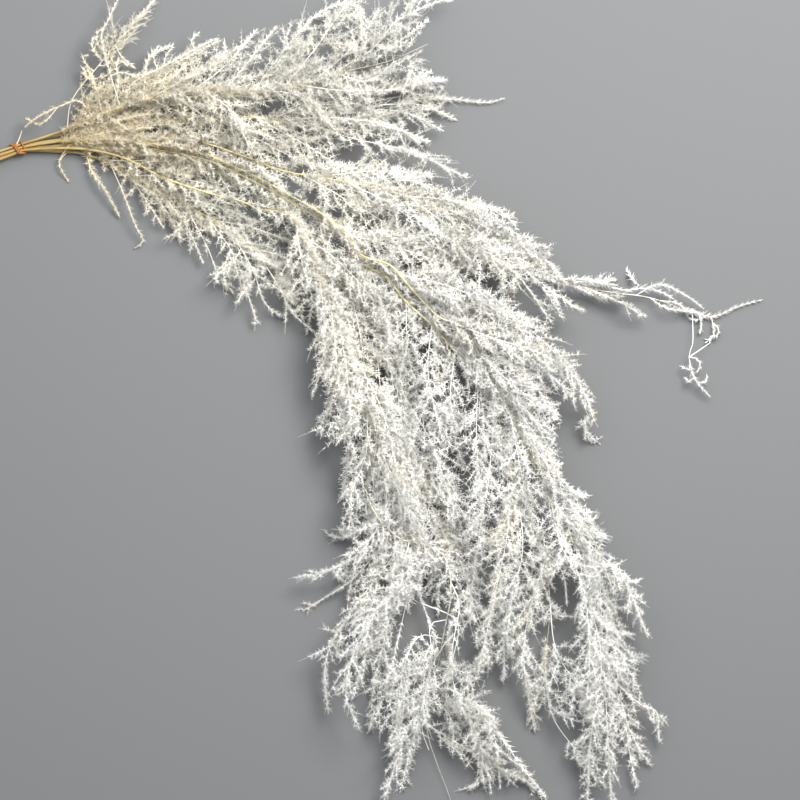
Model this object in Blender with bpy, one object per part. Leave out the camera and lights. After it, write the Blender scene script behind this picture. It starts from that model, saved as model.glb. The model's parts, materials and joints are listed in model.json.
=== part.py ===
"""Bundle of preserved asparagus fern that lies on its side, as faceted solids.

Eight bleached leafy stems fan out from one rubber band near their cut ends. Each spray is one body: a stem,
the plumes that branch from it, and on them branchlets and needles round knots. Every branch grows out of a
face of its parent, so a spray is one closed surface. Units are metres, +Z up. The bundle rests on the XY
plane, with its origin in the middle of the band's flat underside.
"""

import itertools
import math
import random
from dataclasses import dataclass, field

import bmesh
import bpy
import numpy as np
from mathutils import Vector

# The routes are drawn on a plan seen from above, in steps of one pixel of the photograph. X runs right and Y
# down on the plan, and a third number is the height of the centre line above the surface, in millimetres.
PLAN_STEP = 0.0009
BAND_ON_PLAN = (16.0, 147.5)
MILLIMETRE = 0.001
CURVE_STEPS = 12

# Stems
STEM_SIDES = 4
STEM_RING_GAP = 0.040
STEM_CUT_RADIUS = 0.00132
STEM_TIP_RADIUS = 0.00060
STEM_PITCH = 0.0031
LAYER_RISE = STEM_PITCH * math.sin(math.radians(60.0))
STEM_KNOT = 0.0014
STEM_KNOT_GAP = 0.006
CUT_END_LENGTH = 0.050
CUT_END_VARIETY = (0.85, 1.1)
CUT_END_SPREAD = 0.35
AXIS_ANGLE = math.radians(19.0)

# Plumes
PLUME_SIDES = 3
PLUME_ROOT_RADIUS = 0.0008
PLUME_TIP_RADIUS = 0.00042
PLUME_RING_GAP = 0.045
PLUME_ARCHES = (0.10, 0.05, 0.15)
TIP_FALL = (0.0, 0.75, 0.35, 1.15, 0.1, 0.9)

# Knots of a plume, each with a branchlet and needles on its three sides
KNOT_LENGTH = 0.0008
KNOT_GAP = 0.078
KNOT_RANGE = (0.30, 0.95)
KNOT_TILT = 0.5
BRANCHLET_LENGTH = 0.019
BRANCHLET_RADIUS = 0.00045
BRANCHLET_TIP_RADIUS = 0.0003
BRANCHLET_ANGLE = math.radians(48.0)
BRANCHLET_WHORL = 0.68
BRANCHLET_STRETCH = (0.85, 1.15)
BRANCHLET_SHRINK = (1.1, 0.4)
NEEDLE_LENGTH = 0.005
NEEDLE_ANGLE = math.radians(55.0)

# Where a branch leaves its parent: the first ring stands clear of the parent's surface
HEADING_REACH = 0.004
SMALLEST_ANGLE = math.radians(20.0)
ROOT_SWELL = 1.2
LARGEST_ROOT_SHARE = 0.25
KNOT_MARGIN = 3.0
SAME_SIDE = 0.99

# Room that one spray keeps to the next and a branch to others of its spray, past the reach of its own root,
# and the ways in which a plume is bent or a knot is turned to keep it
CLEARANCE = 0.0007
OWN_CLEARANCE = 0.0003
PLUME_ROOT_REACH = 0.012
KNOT_ROOT_REACH = 0.003
SAMPLE_GAP = 0.001
PLUME_BENDS = [0.0] + [sign * bend * MILLIMETRE for bend in range(3, 31, 3) for sign in (1, -1)]
KNOT_TURNS = [math.radians(turn) for turn in (0, 40, -40, 80, -80, 120, -120, 180)]

# Rubber band: turns side by side round the stems
BAND_TURNS = 3
BAND_TURN_WIDTH = 0.0019
BAND_THICKNESS = 0.0014
BAND_GROOVE = 0.00035
BAND_CREST = (0.3, 0.7)
BAND_FIT = 0.0004
BAND_CORNER_STEPS = 5

# Where each stem passes through the band: steps of the packing across the bundle and layers above the lowest
SEATS = {
    "spray_lower_left": (-1.0, 0),
    "spray_centre": (0.0, 0),
    "spray_upper_under": (1.0, 0),
    "spray_main": (-0.5, 1),
    "spray_trailing": (0.5, 1),
    "spray_left_column": (-1.0, 2),
    "spray_right_column": (0.0, 2),
    "spray_upper": (1.0, 2),
}

# Centre lines of the stems from the band to their tips: plan X, plan Y, height
STEMS = {
    "spray_upper": [
        (60, 130, 12), (100, 113, 20), (150, 99, 30), (200, 91, 40), (255, 92, 46), (300, 86, 44),
        (345, 72, 36), (388, 61, 27), (428, 43, 18),
    ],
    "spray_upper_under": [
        (60, 133, 5), (100, 128, 10), (140, 124, 15), (190, 117, 20), (240, 116, 23), (300, 119, 23),
        (350, 110, 20), (400, 101, 14), (445, 97, 8), (505, 98, 3),
    ],
    "spray_trailing": [
        (60, 138, 8.5), (100, 134, 13), (150, 137, 20), (200, 142, 28), (245, 157, 36), (285, 172, 44),
        (330, 180, 50), (380, 190, 54), (430, 206, 52), (480, 229, 44), (520, 252, 34), (560, 280, 24),
        (600, 290, 17), (650, 297, 11), (690, 310, 7), (716, 316, 5), (740, 306, 3.5), (765, 299, 2.5),
    ],
    "spray_main": [
        (60, 144, 8.5), (100, 142, 13), (150, 148, 21), (200, 158, 28), (230, 170, 33), (262, 186, 37),
        (290, 202, 40), (320, 220, 42), (345, 238, 44), (364, 264, 46), (388, 279, 48), (405, 301, 50),
        (430, 324, 50), (455, 352, 48), (475, 380, 46), (492, 412, 43), (505, 450, 40), (520, 495, 36),
        (535, 530, 31), (545, 562, 26), (550, 600, 20), (548, 640, 14), (540, 685, 8), (531, 722, 3),
    ],
    "spray_right_column": [
        (60, 140, 13), (100, 139, 18), (150, 143, 26), (200, 152, 34), (230, 165, 38), (262, 180, 43),
        (290, 196, 48), (318, 212, 52), (342, 230, 56), (362, 256, 59), (390, 266, 60), (410, 288, 60),
        (438, 317, 60), (462, 326, 59), (476, 350, 58), (490, 375, 56), (505, 402, 54), (520, 435, 51),
        (540, 480, 47), (560, 520, 42), (580, 550, 37), (598, 578, 32), (612, 615, 26), (619, 655, 20),
        (622, 700, 14), (628, 735, 8), (638, 765, 4),
    ],
    "spray_left_column": [
        (60, 147, 12), (90, 149, 15), (125, 158, 21), (165, 178, 27), (215, 195, 32), (240, 201, 34),
        (262, 210, 36), (288, 214, 40), (305, 238, 44), (322, 275, 46), (338, 320, 47), (352, 365, 47),
        (366, 410, 46), (376, 440, 45), (373, 462, 44), (366, 490, 42), (378, 517, 41), (400, 538, 40),
        (430, 546, 38), (446, 560, 36), (451, 592, 32), (445, 628, 26), (438, 665, 20), (429, 700, 15),
        (428, 735, 10), (437, 765, 6), (450, 800, 3.5), (456, 826, 2.5),
    ],
    "spray_centre": [
        (60, 145, 4.5), (100, 143, 8), (160, 152, 14), (230, 177, 20), (280, 206, 24), (325, 255, 26),
        (360, 305, 26), (385, 345, 25), (400, 385, 24), (410, 430, 22), (420, 480, 19), (440, 520, 15),
        (460, 560, 10), (472, 598, 5),
    ],
    "spray_lower_left": [
        (60, 150, 4), (80, 152, 5), (110, 163, 7), (150, 186, 9), (190, 207, 12), (230, 229, 13),
        (265, 257, 11), (290, 289, 7), (304, 322, 3),
    ],
}

# Plumes of each spray, root to tip on the plan, near the cut end first
PLUMES = {
    "spray_upper": [
        [(66, 124), (72, 98), (100, 63), (118, 40), (140, 14), (158, -10)],
        [(100, 63), (102, 42), (108, 20), (120, -8)],
        [(112, 108), (118, 85), (116, 60), (132, 66)],
        [(92, 116), (78, 100), (60, 106), (42, 114), (24, 126)],
        [(100, 113), (96, 90), (84, 64)],
        [(118, 108), (132, 84), (165, 66), (200, 46), (216, 38)],
        [(140, 82), (148, 58), (172, 42)],
        [(150, 98), (185, 80), (222, 62), (224, 38)],
        [(190, 92), (222, 70), (256, 28)],
        [(225, 91), (252, 60), (277, 28)],
        [(255, 92), (282, 55), (310, 20), (328, 12)],
        [(285, 89), (318, 48), (350, 6), (366, 38)],
        [(315, 82), (350, 50), (378, 9)],
        [(340, 74), (375, 48), (400, 20), (452, -4)],
        [(365, 66), (395, 45), (428, 18)],
        [(200, 91), (232, 112), (250, 148), (272, 188)],
        [(170, 95), (205, 118), (232, 150)],
        [(260, 92), (300, 98), (335, 130)],
        [(300, 86), (345, 92), (400, 88), (432, 68)],
        [(335, 76), (370, 82), (405, 56), (416, 78), (445, 80)],
    ],
    "spray_upper_under": [
        [(85, 130), (110, 112), (150, 112)],
        [(130, 125), (165, 100), (205, 88)],
        [(175, 119), (215, 92), (262, 72)],
        [(230, 116), (270, 80), (325, 58)],
        [(275, 118), (325, 95), (385, 66)],
        [(330, 114), (375, 92), (442, 78)],
        [(380, 104), (420, 104), (457, 118)],
        [(360, 108), (405, 112), (444, 130)],
        [(348, 111), (385, 122), (412, 134), (430, 140)],
        [(300, 119), (350, 138), (410, 152), (468, 178)],
        [(255, 117), (300, 142), (345, 168), (388, 186)],
        [(210, 117), (255, 138), (300, 160), (345, 168)],
        [(160, 121), (200, 134), (245, 146), (280, 150)],
        [(290, 119), (340, 118), (390, 126), (420, 142)],
    ],
    "spray_trailing": [
        [(320, 178), (375, 172), (432, 172)],
        [(370, 187), (412, 182), (452, 200)],
        [(405, 197), (455, 202), (500, 212), (516, 227)],
        [(440, 210), (485, 220), (518, 236)],
        [(475, 226), (520, 242), (556, 270), (566, 290)],
        [(350, 184), (400, 210), (450, 240), (495, 262)],
        [(300, 176), (345, 200), (395, 230), (430, 262)],
        [(410, 200), (465, 240), (515, 275), (552, 324)],
        [(455, 217), (500, 255), (540, 285), (564, 320)],
        [(490, 235), (530, 275), (560, 298), (582, 313)],
        [(555, 277), (585, 282), (617, 279)],
        [(590, 288), (620, 302), (647, 317)],
        [(610, 291), (640, 287), (634, 280), (628, 268)],
        [(635, 294), (660, 284), (685, 294), (705, 308)],
        [(650, 297), (668, 308), (700, 312)],
        [(692, 311), (694, 342), (690, 357), (697, 380), (712, 397)],
        [(714, 317), (716, 334), (708, 342)],
    ],
    "spray_main": [
        [(380, 275), (440, 285), (505, 312), (560, 360), (590, 405), (585, 428), (602, 445)],
        [(400, 294), (460, 320), (520, 352), (555, 380), (575, 400)],
        [(425, 320), (490, 352), (525, 375), (558, 418)],
        [(450, 346), (500, 385), (545, 432)],
        [(470, 373), (515, 415), (552, 466)],
        [(345, 238), (390, 238), (440, 250), (480, 276)],
        [(350, 246), (362, 285), (372, 330)],
        [(372, 268), (385, 315), (400, 368)],
        [(405, 301), (408, 350), (420, 408)],
        [(430, 324), (428, 375), (442, 440)],
        [(455, 352), (450, 405), (462, 470)],
        [(478, 386), (476, 440), (482, 505)],
        [(494, 418), (488, 480), (478, 540), (470, 616)],
        [(505, 450), (508, 520), (495, 590), (478, 672)],
        [(516, 484), (522, 550), (505, 620), (505, 680)],
        [(540, 545), (562, 572), (567, 605)],
        [(545, 562), (528, 615), (524, 665), (536, 735)],
        [(550, 600), (556, 650), (580, 690), (600, 735)],
        [(545, 660), (552, 715), (582, 758), (606, 790)],
    ],
    "spray_right_column": [
        [(345, 235), (395, 248), (450, 268), (492, 300)],
        [(400, 276), (455, 290), (510, 322), (545, 362)],
        [(440, 318), (490, 338), (535, 352), (575, 372)],
        [(478, 352), (520, 392), (555, 412)],
        [(497, 386), (535, 435), (562, 480)],
        [(512, 416), (550, 468), (584, 500)],
        [(530, 458), (568, 500), (603, 545)],
        [(548, 498), (590, 545), (622, 578), (648, 638)],
        [(508, 408), (520, 470), (535, 545)],
        [(550, 500), (560, 545), (580, 580), (588, 640), (586, 700)],
        [(575, 543), (588, 600), (600, 660), (590, 740), (588, 820)],
        [(600, 585), (602, 650), (606, 720), (612, 812)],
        [(617, 648), (631, 674), (638, 694)],
        [(621, 690), (642, 706), (657, 712), (660, 743)],
        [(623, 705), (632, 735), (652, 768)],
        [(628, 735), (632, 762), (639, 790)],
    ],
    "spray_left_column": [
        [(296, 222), (302, 262), (312, 300), (306, 334)],
        [(313, 256), (322, 295), (326, 350), (314, 392)],
        [(327, 290), (334, 330), (336, 385), (316, 436)],
        [(340, 325), (348, 380), (350, 420), (336, 446)],
        [(355, 375), (350, 415), (348, 465), (342, 500)],
        [(368, 415), (366, 455), (350, 500), (354, 530)],
        [(304, 238), (345, 268), (385, 320), (400, 380)],
        [(345, 345), (378, 400), (395, 460), (400, 520)],
        [(375, 440), (398, 490), (420, 535), (434, 575)],
        [(444, 558), (415, 563), (392, 590), (362, 630), (346, 690), (359, 726)],
        [(408, 540), (398, 585), (384, 640), (372, 700)],
        [(448, 582), (459, 606), (452, 650), (456, 690), (486, 712), (492, 742), (522, 768)],
        [(447, 620), (430, 626), (432, 660), (422, 705), (400, 795)],
        [(442, 640), (420, 636), (406, 660), (398, 705), (396, 760)],
        [(440, 655), (422, 652), (404, 672), (375, 712), (370, 730)],
        [(437, 670), (420, 702), (402, 745), (384, 800)],
        [(456, 690), (476, 730), (482, 780), (467, 791)],
        [(433, 690), (452, 722), (452, 752)],
        [(488, 725), (500, 770), (525, 782), (545, 800)],
        [(438, 668), (462, 672), (470, 682), (455, 705)],
    ],
    "spray_centre": [
        [(318, 246), (330, 300), (342, 355), (352, 410)],
        [(350, 290), (362, 345), (368, 405), (376, 450)],
        [(375, 328), (380, 385), (385, 440), (378, 500)],
        [(395, 370), (402, 425), (415, 480)],
        [(406, 410), (388, 465), (372, 520), (340, 538), (328, 536)],
        [(412, 440), (392, 500), (362, 550), (330, 570), (297, 580)],
        [(416, 460), (392, 530), (354, 578), (326, 598), (302, 613)],
        [(422, 484), (400, 545), (352, 610), (326, 660), (328, 715)],
        [(430, 503), (410, 565), (375, 630), (352, 700)],
        [(440, 520), (412, 585), (398, 640), (385, 695)],
        [(448, 536), (440, 575), (438, 618)],
        [(460, 560), (472, 600), (486, 650), (462, 684)],
        [(340, 278), (395, 300), (440, 345), (455, 400)],
        [(402, 392), (430, 440), (448, 490), (468, 545)],
        [(412, 440), (436, 480), (470, 520), (500, 560)],
    ],
    "spray_lower_left": [
        [(64, 150), (57, 160), (60, 170), (66, 180)],
        [(86, 154), (90, 170), (104, 190), (118, 216)],
        [(108, 162), (122, 192), (134, 224), (142, 240), (133, 247)],
        [(125, 171), (148, 204), (163, 228)],
        [(145, 183), (168, 214), (181, 242)],
        [(162, 193), (188, 230), (202, 262)],
        [(185, 205), (206, 245), (218, 275), (233, 293)],
        [(205, 215), (234, 255), (246, 290), (256, 321)],
        [(228, 228), (252, 268), (264, 302), (281, 316)],
        [(250, 244), (276, 282), (292, 312), (314, 332)],
        [(130, 174), (170, 176), (215, 186), (250, 200)],
        [(170, 197), (212, 204), (262, 224)],
        [(215, 220), (256, 228), (300, 246)],
        [(255, 248), (285, 258), (312, 282)],
        [(100, 158), (130, 160), (165, 160), (200, 176)],
    ],
}

COLOURS = {
    "spray_upper": (0.80, 0.74, 0.62),
    "spray_upper_under": (0.76, 0.70, 0.57),
    "spray_trailing": (0.82, 0.78, 0.68),
    "spray_main": (0.78, 0.72, 0.58),
    "spray_right_column": (0.83, 0.79, 0.70),
    "spray_left_column": (0.76, 0.69, 0.54),
    "spray_centre": (0.74, 0.68, 0.55),
    "spray_lower_left": (0.77, 0.71, 0.60),
}
BAND_COLOUR = (0.55, 0.25, 0.07)
FERN_ROUGHNESS = 0.75
BAND_ROUGHNESS = 0.45


def from_plan(point):
    """The place in metres of a point of the plan, which has a height in millimetres or none."""
    height = point[2] * MILLIMETRE if len(point) > 2 else 0.0
    right = (point[0] - BAND_ON_PLAN[0]) * PLAN_STEP
    return Vector((right, (BAND_ON_PLAN[1] - point[1]) * PLAN_STEP, height))


def smooth_line(points, gap):
    """Points about a gap apart on a smooth curve that runs through the given points."""
    ends = [2 * points[0] - points[1], *points, 2 * points[-1] - points[-2]]
    fine = []
    for before, start, end, after in zip(ends, ends[1:], ends[2:], ends[3:]):
        for step in range(CURVE_STEPS):
            t = step / CURVE_STEPS
            fine.append(0.5 * (2 * start + (end - before) * t
                               + (2 * before - 5 * start + 4 * end - after) * t ** 2
                               + (3 * start - before - 3 * end + after) * t ** 3))
    fine.append(points[-1])
    along = np.concatenate([[0.0], np.cumsum([(b - a).length for a, b in zip(fine, fine[1:])])])
    count = max(2, round(along[-1] / gap))
    wanted = np.linspace(0.0, along[-1], count + 1)
    axes = [np.interp(wanted, along, [point[axis] for point in fine]) for axis in range(3)]
    return [Vector(place) for place in zip(*axes)]


def line_length(line):
    """The length of a line of points."""
    return sum((end - start).length for start, end in zip(line, line[1:]))


def even_shares(low, high, count):
    """A count of shares from low to high, at even steps."""
    return [low + (high - low) * number / (count - 1) for number in range(count)]


def place_on(line, share):
    """The place at a share of a line's length."""
    left = share * line_length(line)
    for start, end in zip(line, line[1:]):
        step = (end - start).length
        if left <= step:
            return start.lerp(end, left / step)
        left -= step
    return line[-1].copy()


def heading_on(line, share):
    """The direction of a line at a share of its length, evened out over a short reach."""
    even = HEADING_REACH / line_length(line)
    return (place_on(line, min(share + even, 1.0)) - place_on(line, max(share - even, 0.0))).normalized()


def outward(direction, turn):
    """The direction across another one, level at no turn and turned about it."""
    level = Vector((0, 0, 1)).cross(direction).normalized()
    return math.cos(turn) * level + math.sin(turn) * direction.cross(level)


def turn_towards(direction, wanted):
    """The turn about a direction at which its outward direction is the closest to the wanted one."""
    level = outward(direction, 0.0)
    return math.atan2(wanted.dot(direction.cross(level)), wanted.dot(level))


@dataclass
class Knot:
    """A short stretch of a branch, where a smaller branch grows from one side and needles from the others."""

    share: float
    facing: float
    child: "Branch" = None
    has_needles: bool = True


@dataclass
class Branch:
    """A slim tapered tube along a line, which ends in a point and carries knots."""

    line: list
    root_radius: float
    tip_radius: float
    sides: int
    knot_length: float
    root_share: float = 0.0
    knots: list = field(default_factory=list)

    def ring(self, share, turn):
        """The corners round the branch at a share of its length."""
        centre = place_on(self.line, share)
        heading = heading_on(self.line, share)
        radius = self.root_radius + (self.tip_radius - self.root_radius) * share
        step = 2 * math.pi / self.sides
        corners = [centre + radius * outward(heading, turn + side * step) for side in range(self.sides)]
        for corner in corners:
            corner.z = max(corner.z, 0.0)
        return corners

    def rings(self, first_share):
        """The share, turn and knot of every ring from the root on, in order. A knot has two rings."""
        length = line_length(self.line)
        wide = self.knot_length / length
        margin = KNOT_MARGIN * wide
        steps = np.cumsum([(end - start).length for start, end in zip(self.line, self.line[1:])]) / length
        plain = [float(share) for share in steps[:-1] if share > first_share + wide]
        plain = [share for share in plain if all(abs(share - knot.share) > margin for knot in self.knots)]
        places = [(share, None) for share in [first_share] + plain]
        for knot in self.knots:
            places += [(knot.share, knot), (knot.share + wide, None)]
        places.sort(key=lambda place: place[0])
        step = 2 * math.pi / self.sides
        first_turn = self.knots[0].facing - step / 2 if self.knots else 0.0
        made = []
        for share, knot in places:
            turn = made[-1][1] if made else first_turn
            if knot is not None:
                even = knot.facing - step / 2
                turn = even + step * round((turn - even) / step)
            made.append((share, turn, knot))
        return made

    def needle(self, knot, turn):
        """The root and the tip of a needle of a knot, at its turn about the branch."""
        share = knot.share + self.knot_length / line_length(self.line) / 2
        root = place_on(self.line, share)
        heading = heading_on(self.line, share)
        lean = math.sin(NEEDLE_ANGLE) * outward(heading, turn) + math.cos(NEEDLE_ANGLE) * heading
        tip = root + NEEDLE_LENGTH * lean
        tip.z = max(tip.z, 0.0)
        return root, tip

    def needles(self, knot):
        """The roots and tips of all needles of a knot, each with its turn."""
        if not knot.has_needles:
            return []
        step = 2 * math.pi / self.sides
        first = 0 if knot.child is None else 1
        return [self.needle(knot, knot.facing + side * step) for side in range(first, self.sides)]

    def core_pieces(self):
        """The straight pieces of the branch itself, as starts, ends and radii."""
        return [(start, end, self.root_radius) for start, end in zip(self.line, self.line[1:])]

    def knot_pieces(self, knot):
        """The straight pieces of the needles of a knot, and of the branch that grows from it."""
        pieces = [(root, tip, self.knot_length / 2) for root, tip in self.needles(knot)]
        if knot.child is not None:
            pieces += knot.child.core_pieces()
            for whorl in knot.child.knots:
                pieces += knot.child.knot_pieces(whorl)
        return pieces

    def grow(self, shape, root=None):
        """Adds the branch to a shape, out of a root loop of its parent or from its own flat end."""
        rings = self.rings(0.0 if root is None else self.root_share)
        loops = [[shape.verts.new(corner) for corner in self.ring(share, turn)] for share, turn, _ in rings]
        if root is None:
            shape.faces.new(loops[0][::-1])
        else:
            bridge(shape, root, loops[0])
        for (_, turn, knot), (_, next_turn, _), lower, upper in zip(rings, rings[1:], loops, loops[1:]):
            for side in range(self.sides):
                after = (side + 1) % self.sides
                quad = [lower[side], lower[after], upper[after], upper[side]]
                facing = turn + 2 * math.pi * (side + 0.5) / self.sides
                if knot is not None and knot.child is not None and math.cos(facing - knot.facing) > SAME_SIDE:
                    knot.child.grow(shape, quad)
                elif knot is not None and knot.has_needles:
                    close(shape, quad, shape.verts.new(self.needle(knot, facing)[1]))
                else:
                    split(shape, quad, next_turn > turn)
        close(shape, loops[-1], shape.verts.new(self.line[-1]))


def close(shape, loop, apex):
    """Closes a loop with a cone up to an apex."""
    for start, end in zip(loop, loop[1:] + loop[:1]):
        shape.faces.new((start, end, apex))


def split(shape, quad, turns_on):
    """Fills a side of a tube with two triangles, split by the diagonal that suits the way the tube turns."""
    first, second, third, fourth = quad
    if turns_on:
        shape.faces.new((first, second, fourth))
        shape.faces.new((second, third, fourth))
    else:
        shape.faces.new((first, second, third))
        shape.faces.new((first, third, fourth))


def bridge(shape, lower, upper):
    """Joins two loops that run the same way round with triangles, evenly from the closest pair of starts."""
    def apart(starts):
        low, up = starts
        return sum((lower[(low + step * len(lower) // len(upper)) % len(lower)].co
                    - upper[(up + step) % len(upper)].co).length for step in range(len(upper)))

    low, up = min(((low, up) for low in range(len(lower)) for up in range(len(upper))), key=apart)
    lower = lower[low:] + lower[:low + 1]
    upper = upper[up:] + upper[:up + 1]
    on_lower = 0
    on_upper = 0
    while on_lower < len(lower) - 1 or on_upper < len(upper) - 1:
        if (on_lower + 1) / (len(lower) - 1) <= (on_upper + 1) / (len(upper) - 1):
            shape.faces.new((lower[on_lower], lower[on_lower + 1], upper[on_upper]))
            on_lower += 1
        else:
            shape.faces.new((lower[on_lower], upper[on_upper + 1], upper[on_upper]))
            on_upper += 1


class Room:
    """The straight pieces that the branches take up, to test whether one more keeps clear of the others."""

    def __init__(self):
        self.starts = np.empty((0, 3))
        self.ends = np.empty((0, 3))
        self.radii = np.empty(0)
        self.sprays = []
        self.parents = []

    def take(self, pieces, spray_name, branch):
        """Marks the room that pieces take up, which belong to a branch of a spray."""
        starts, ends, radii = zip(*pieces)
        self.starts = np.vstack([self.starts, starts])
        self.ends = np.vstack([self.ends, ends])
        self.radii = np.concatenate([self.radii, radii])
        self.sprays += [spray_name] * len(pieces)
        self.parents += [id(branch)] * len(pieces)

    def is_clear(self, pieces, spray_name, parent, root, root_reach):
        """Whether pieces keep clear of all others, save for their parent within the reach of their root."""
        starts, ends, radii = (np.array(part) for part in zip(*pieces))
        counts = (np.linalg.norm(ends - starts, axis=1) // SAMPLE_GAP + 2).astype(int)
        points = np.vstack([np.linspace(a, b, n) for a, b, n in zip(starts, ends, counts)])
        reach = np.repeat(radii, counts)
        margin = 2 * NEEDLE_LENGTH
        near = (np.maximum(self.starts, self.ends) > points.min(axis=0) - margin).all(axis=1)
        near &= (np.minimum(self.starts, self.ends) < points.max(axis=0) + margin).all(axis=1)
        if not near.any():
            return True
        base = self.starts[near]
        run = self.ends[near] - base
        share = np.einsum("pnk,nk->pn", points[:, None] - base, run) / np.einsum("nk,nk->n", run, run)
        closest = base + np.clip(share, 0.0, 1.0)[..., None] * run
        gaps = np.linalg.norm(points[:, None] - closest, axis=2) - reach[:, None] - self.radii[near]
        own_spray = np.array(self.sprays)[near] == spray_name
        own_parent = np.array(self.parents)[near] == id(parent)
        at_root = np.linalg.norm(points - np.array(root), axis=1) < root_reach
        needed = np.where(own_spray, OWN_CLEARANCE, CLEARANCE)
        needed = np.where(at_root[:, None] & own_parent, -math.inf, needed)
        return bool((gaps >= needed).all())


def material(name, colour, roughness):
    """A plain material of one colour."""
    made = bpy.data.materials.new(name)
    made.use_nodes = True
    shader = made.node_tree.nodes["Principled BSDF"]
    shader.inputs["Base Color"].default_value = (*colour, 1.0)
    shader.inputs["Roughness"].default_value = roughness
    shader.inputs["Metallic"].default_value = 0.0
    return made


def add_object(name, shape):
    """An object with the given shape, its faces turned outward."""
    bmesh.ops.recalc_face_normals(shape, faces=shape.faces)
    mesh = bpy.data.meshes.new(name)
    shape.to_mesh(mesh)
    shape.free()
    made = bpy.data.objects.new(name, mesh)
    bpy.context.scene.collection.objects.link(made)
    return made


def bundle_axes():
    """The axis of the bundle at the band, and the level axis across it."""
    along = Vector((math.cos(AXIS_ANGLE), math.sin(AXIS_ANGLE), 0.0))
    return along, Vector((0, 0, 1)).cross(along)


def seat(name):
    """The place of a stem's centre line in the middle of the band."""
    step, layer = SEATS[name]
    lowest = BAND_THICKNESS + BAND_FIT + STEM_CUT_RADIUS
    return step * STEM_PITCH * bundle_axes()[1] + Vector((0, 0, lowest + layer * LAYER_RISE))


def stem_line(name, draw):
    """The centre line of a stem from its cut end, straight through the band and out to its tip."""
    along, _ = bundle_axes()
    middle = seat(name)
    reach = CUT_END_LENGTH * draw.uniform(*CUT_END_VARIETY)
    cut = middle - reach * along + CUT_END_SPREAD * Vector((middle.x, middle.y, 0.0))
    into_band = middle - BAND_TURNS * BAND_TURN_WIDTH * along
    past_band = middle + BAND_TURNS * BAND_TURN_WIDTH * along
    route = [past_band] + [from_plan(point) for point in STEMS[name]]
    return [cut, into_band] + smooth_line(route, STEM_RING_GAP)


def root_shares(routes, line):
    """The shares of a stem's line from which plumes grow, each nearest to its route and none too close."""
    fine = even_shares(0.0, 1.0, 400)
    starts = [from_plan(points[0]) for points in routes]
    shares = [min(fine, key=lambda share: (place_on(line, share) - start).xy.length) for start in starts]
    gap = STEM_KNOT_GAP / line_length(line)
    order = sorted(range(len(shares)), key=lambda index: shares[index])
    for before, index in zip(order, order[1:]):
        shares[index] = max(shares[index], shares[before] + gap)
    return shares


def plume_line(points, root, fall, arch, bend):
    """The centre line of a plume, from the middle of its stem, over its arch and down or up to its tip."""
    places = [root] + [from_plan(point) for point in points[1:]]
    length = sum((after - before).xy.length for before, after in zip(places, places[1:]))
    gone = 0.0
    for before, place in zip(places, places[1:]):
        gone += (place.xy - before.xy).length
        t = gone / length
        place.z = root.z + (fall - 1.0) * root.z * t * t + 4 * arch * length * t * (1 - t) + bend * t
    line = smooth_line(places, PLUME_RING_GAP)
    for place in line[:-1]:
        place.z = max(place.z, PLUME_ROOT_RADIUS)
    line[-1].z = max(line[-1].z, 0.0)
    return line


def root_share(line, radius, parent, share):
    """The share of a branch's line at which it has come clear of its parent's surface."""
    angle = heading_on(line, 0.0).angle(heading_on(parent.line, share))
    reach = (parent.root_radius + ROOT_SWELL * radius + OWN_CLEARANCE) / math.sin(max(angle, SMALLEST_ANGLE))
    return min(reach / line_length(line), LARGEST_ROOT_SHARE)


def branchlet(plume, share, facing, stretch):
    """The branchlet at a share of a plume, on the side that it faces, with a whorl of needles."""
    root = place_on(plume.line, share)
    heading = heading_on(plume.line, share)
    away = math.cos(BRANCHLET_ANGLE) * heading + math.sin(BRANCHLET_ANGLE) * outward(heading, facing)
    tip = root + BRANCHLET_LENGTH * stretch * away
    tip.z = max(tip.z, BRANCHLET_RADIUS)
    line = [root, tip]
    start = root_share(line, BRANCHLET_RADIUS, plume, share)
    whorls = [Knot(BRANCHLET_WHORL, facing)]
    return Branch(line, BRANCHLET_RADIUS, BRANCHLET_TIP_RADIUS, PLUME_SIDES, KNOT_LENGTH, start, whorls)


def add_knots(plume, spray_name, room, draw):
    """Adds knots with branchlets to a plume, left and right in turn, each turned until it is clear."""
    length = line_length(plume.line)
    count = max(2, round(length / KNOT_GAP))
    for number, share in enumerate(even_shares(*KNOT_RANGE, count)):
        level = math.pi * (number % 2) + draw.uniform(-KNOT_TILT, KNOT_TILT)
        stretch = (BRANCHLET_SHRINK[0] - BRANCHLET_SHRINK[1] * share) * draw.uniform(*BRANCHLET_STRETCH)
        for turn in KNOT_TURNS:
            facing = level + turn
            knot = Knot(share, facing, branchlet(plume, share, facing, stretch))
            pieces = plume.knot_pieces(knot)
            if room.is_clear(pieces, spray_name, plume, place_on(plume.line, share), KNOT_ROOT_REACH):
                plume.knots.append(knot)
                room.take(pieces, spray_name, knot.child)
                break


def add_plume(stem, share, points, fall, spray_name, room, draw):
    """Adds the plume along a route of the plan to a stem, bent until it is clear of the other branches."""
    root = place_on(stem.line, share)
    for bend, arch in itertools.product(PLUME_BENDS, PLUME_ARCHES):
        line = plume_line(points, root, fall, arch, bend)
        start = root_share(line, PLUME_ROOT_RADIUS, stem, share)
        plume = Branch(line, PLUME_ROOT_RADIUS, PLUME_TIP_RADIUS, PLUME_SIDES, KNOT_LENGTH, start)
        if room.is_clear(plume.core_pieces(), spray_name, stem, root, PLUME_ROOT_REACH):
            facing = turn_towards(heading_on(stem.line, share), heading_on(line, 0.0))
            stem.knots.append(Knot(share, facing, plume, has_needles=False))
            room.take(plume.core_pieces(), spray_name, plume)
            add_knots(plume, spray_name, room, draw)
            return


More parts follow.
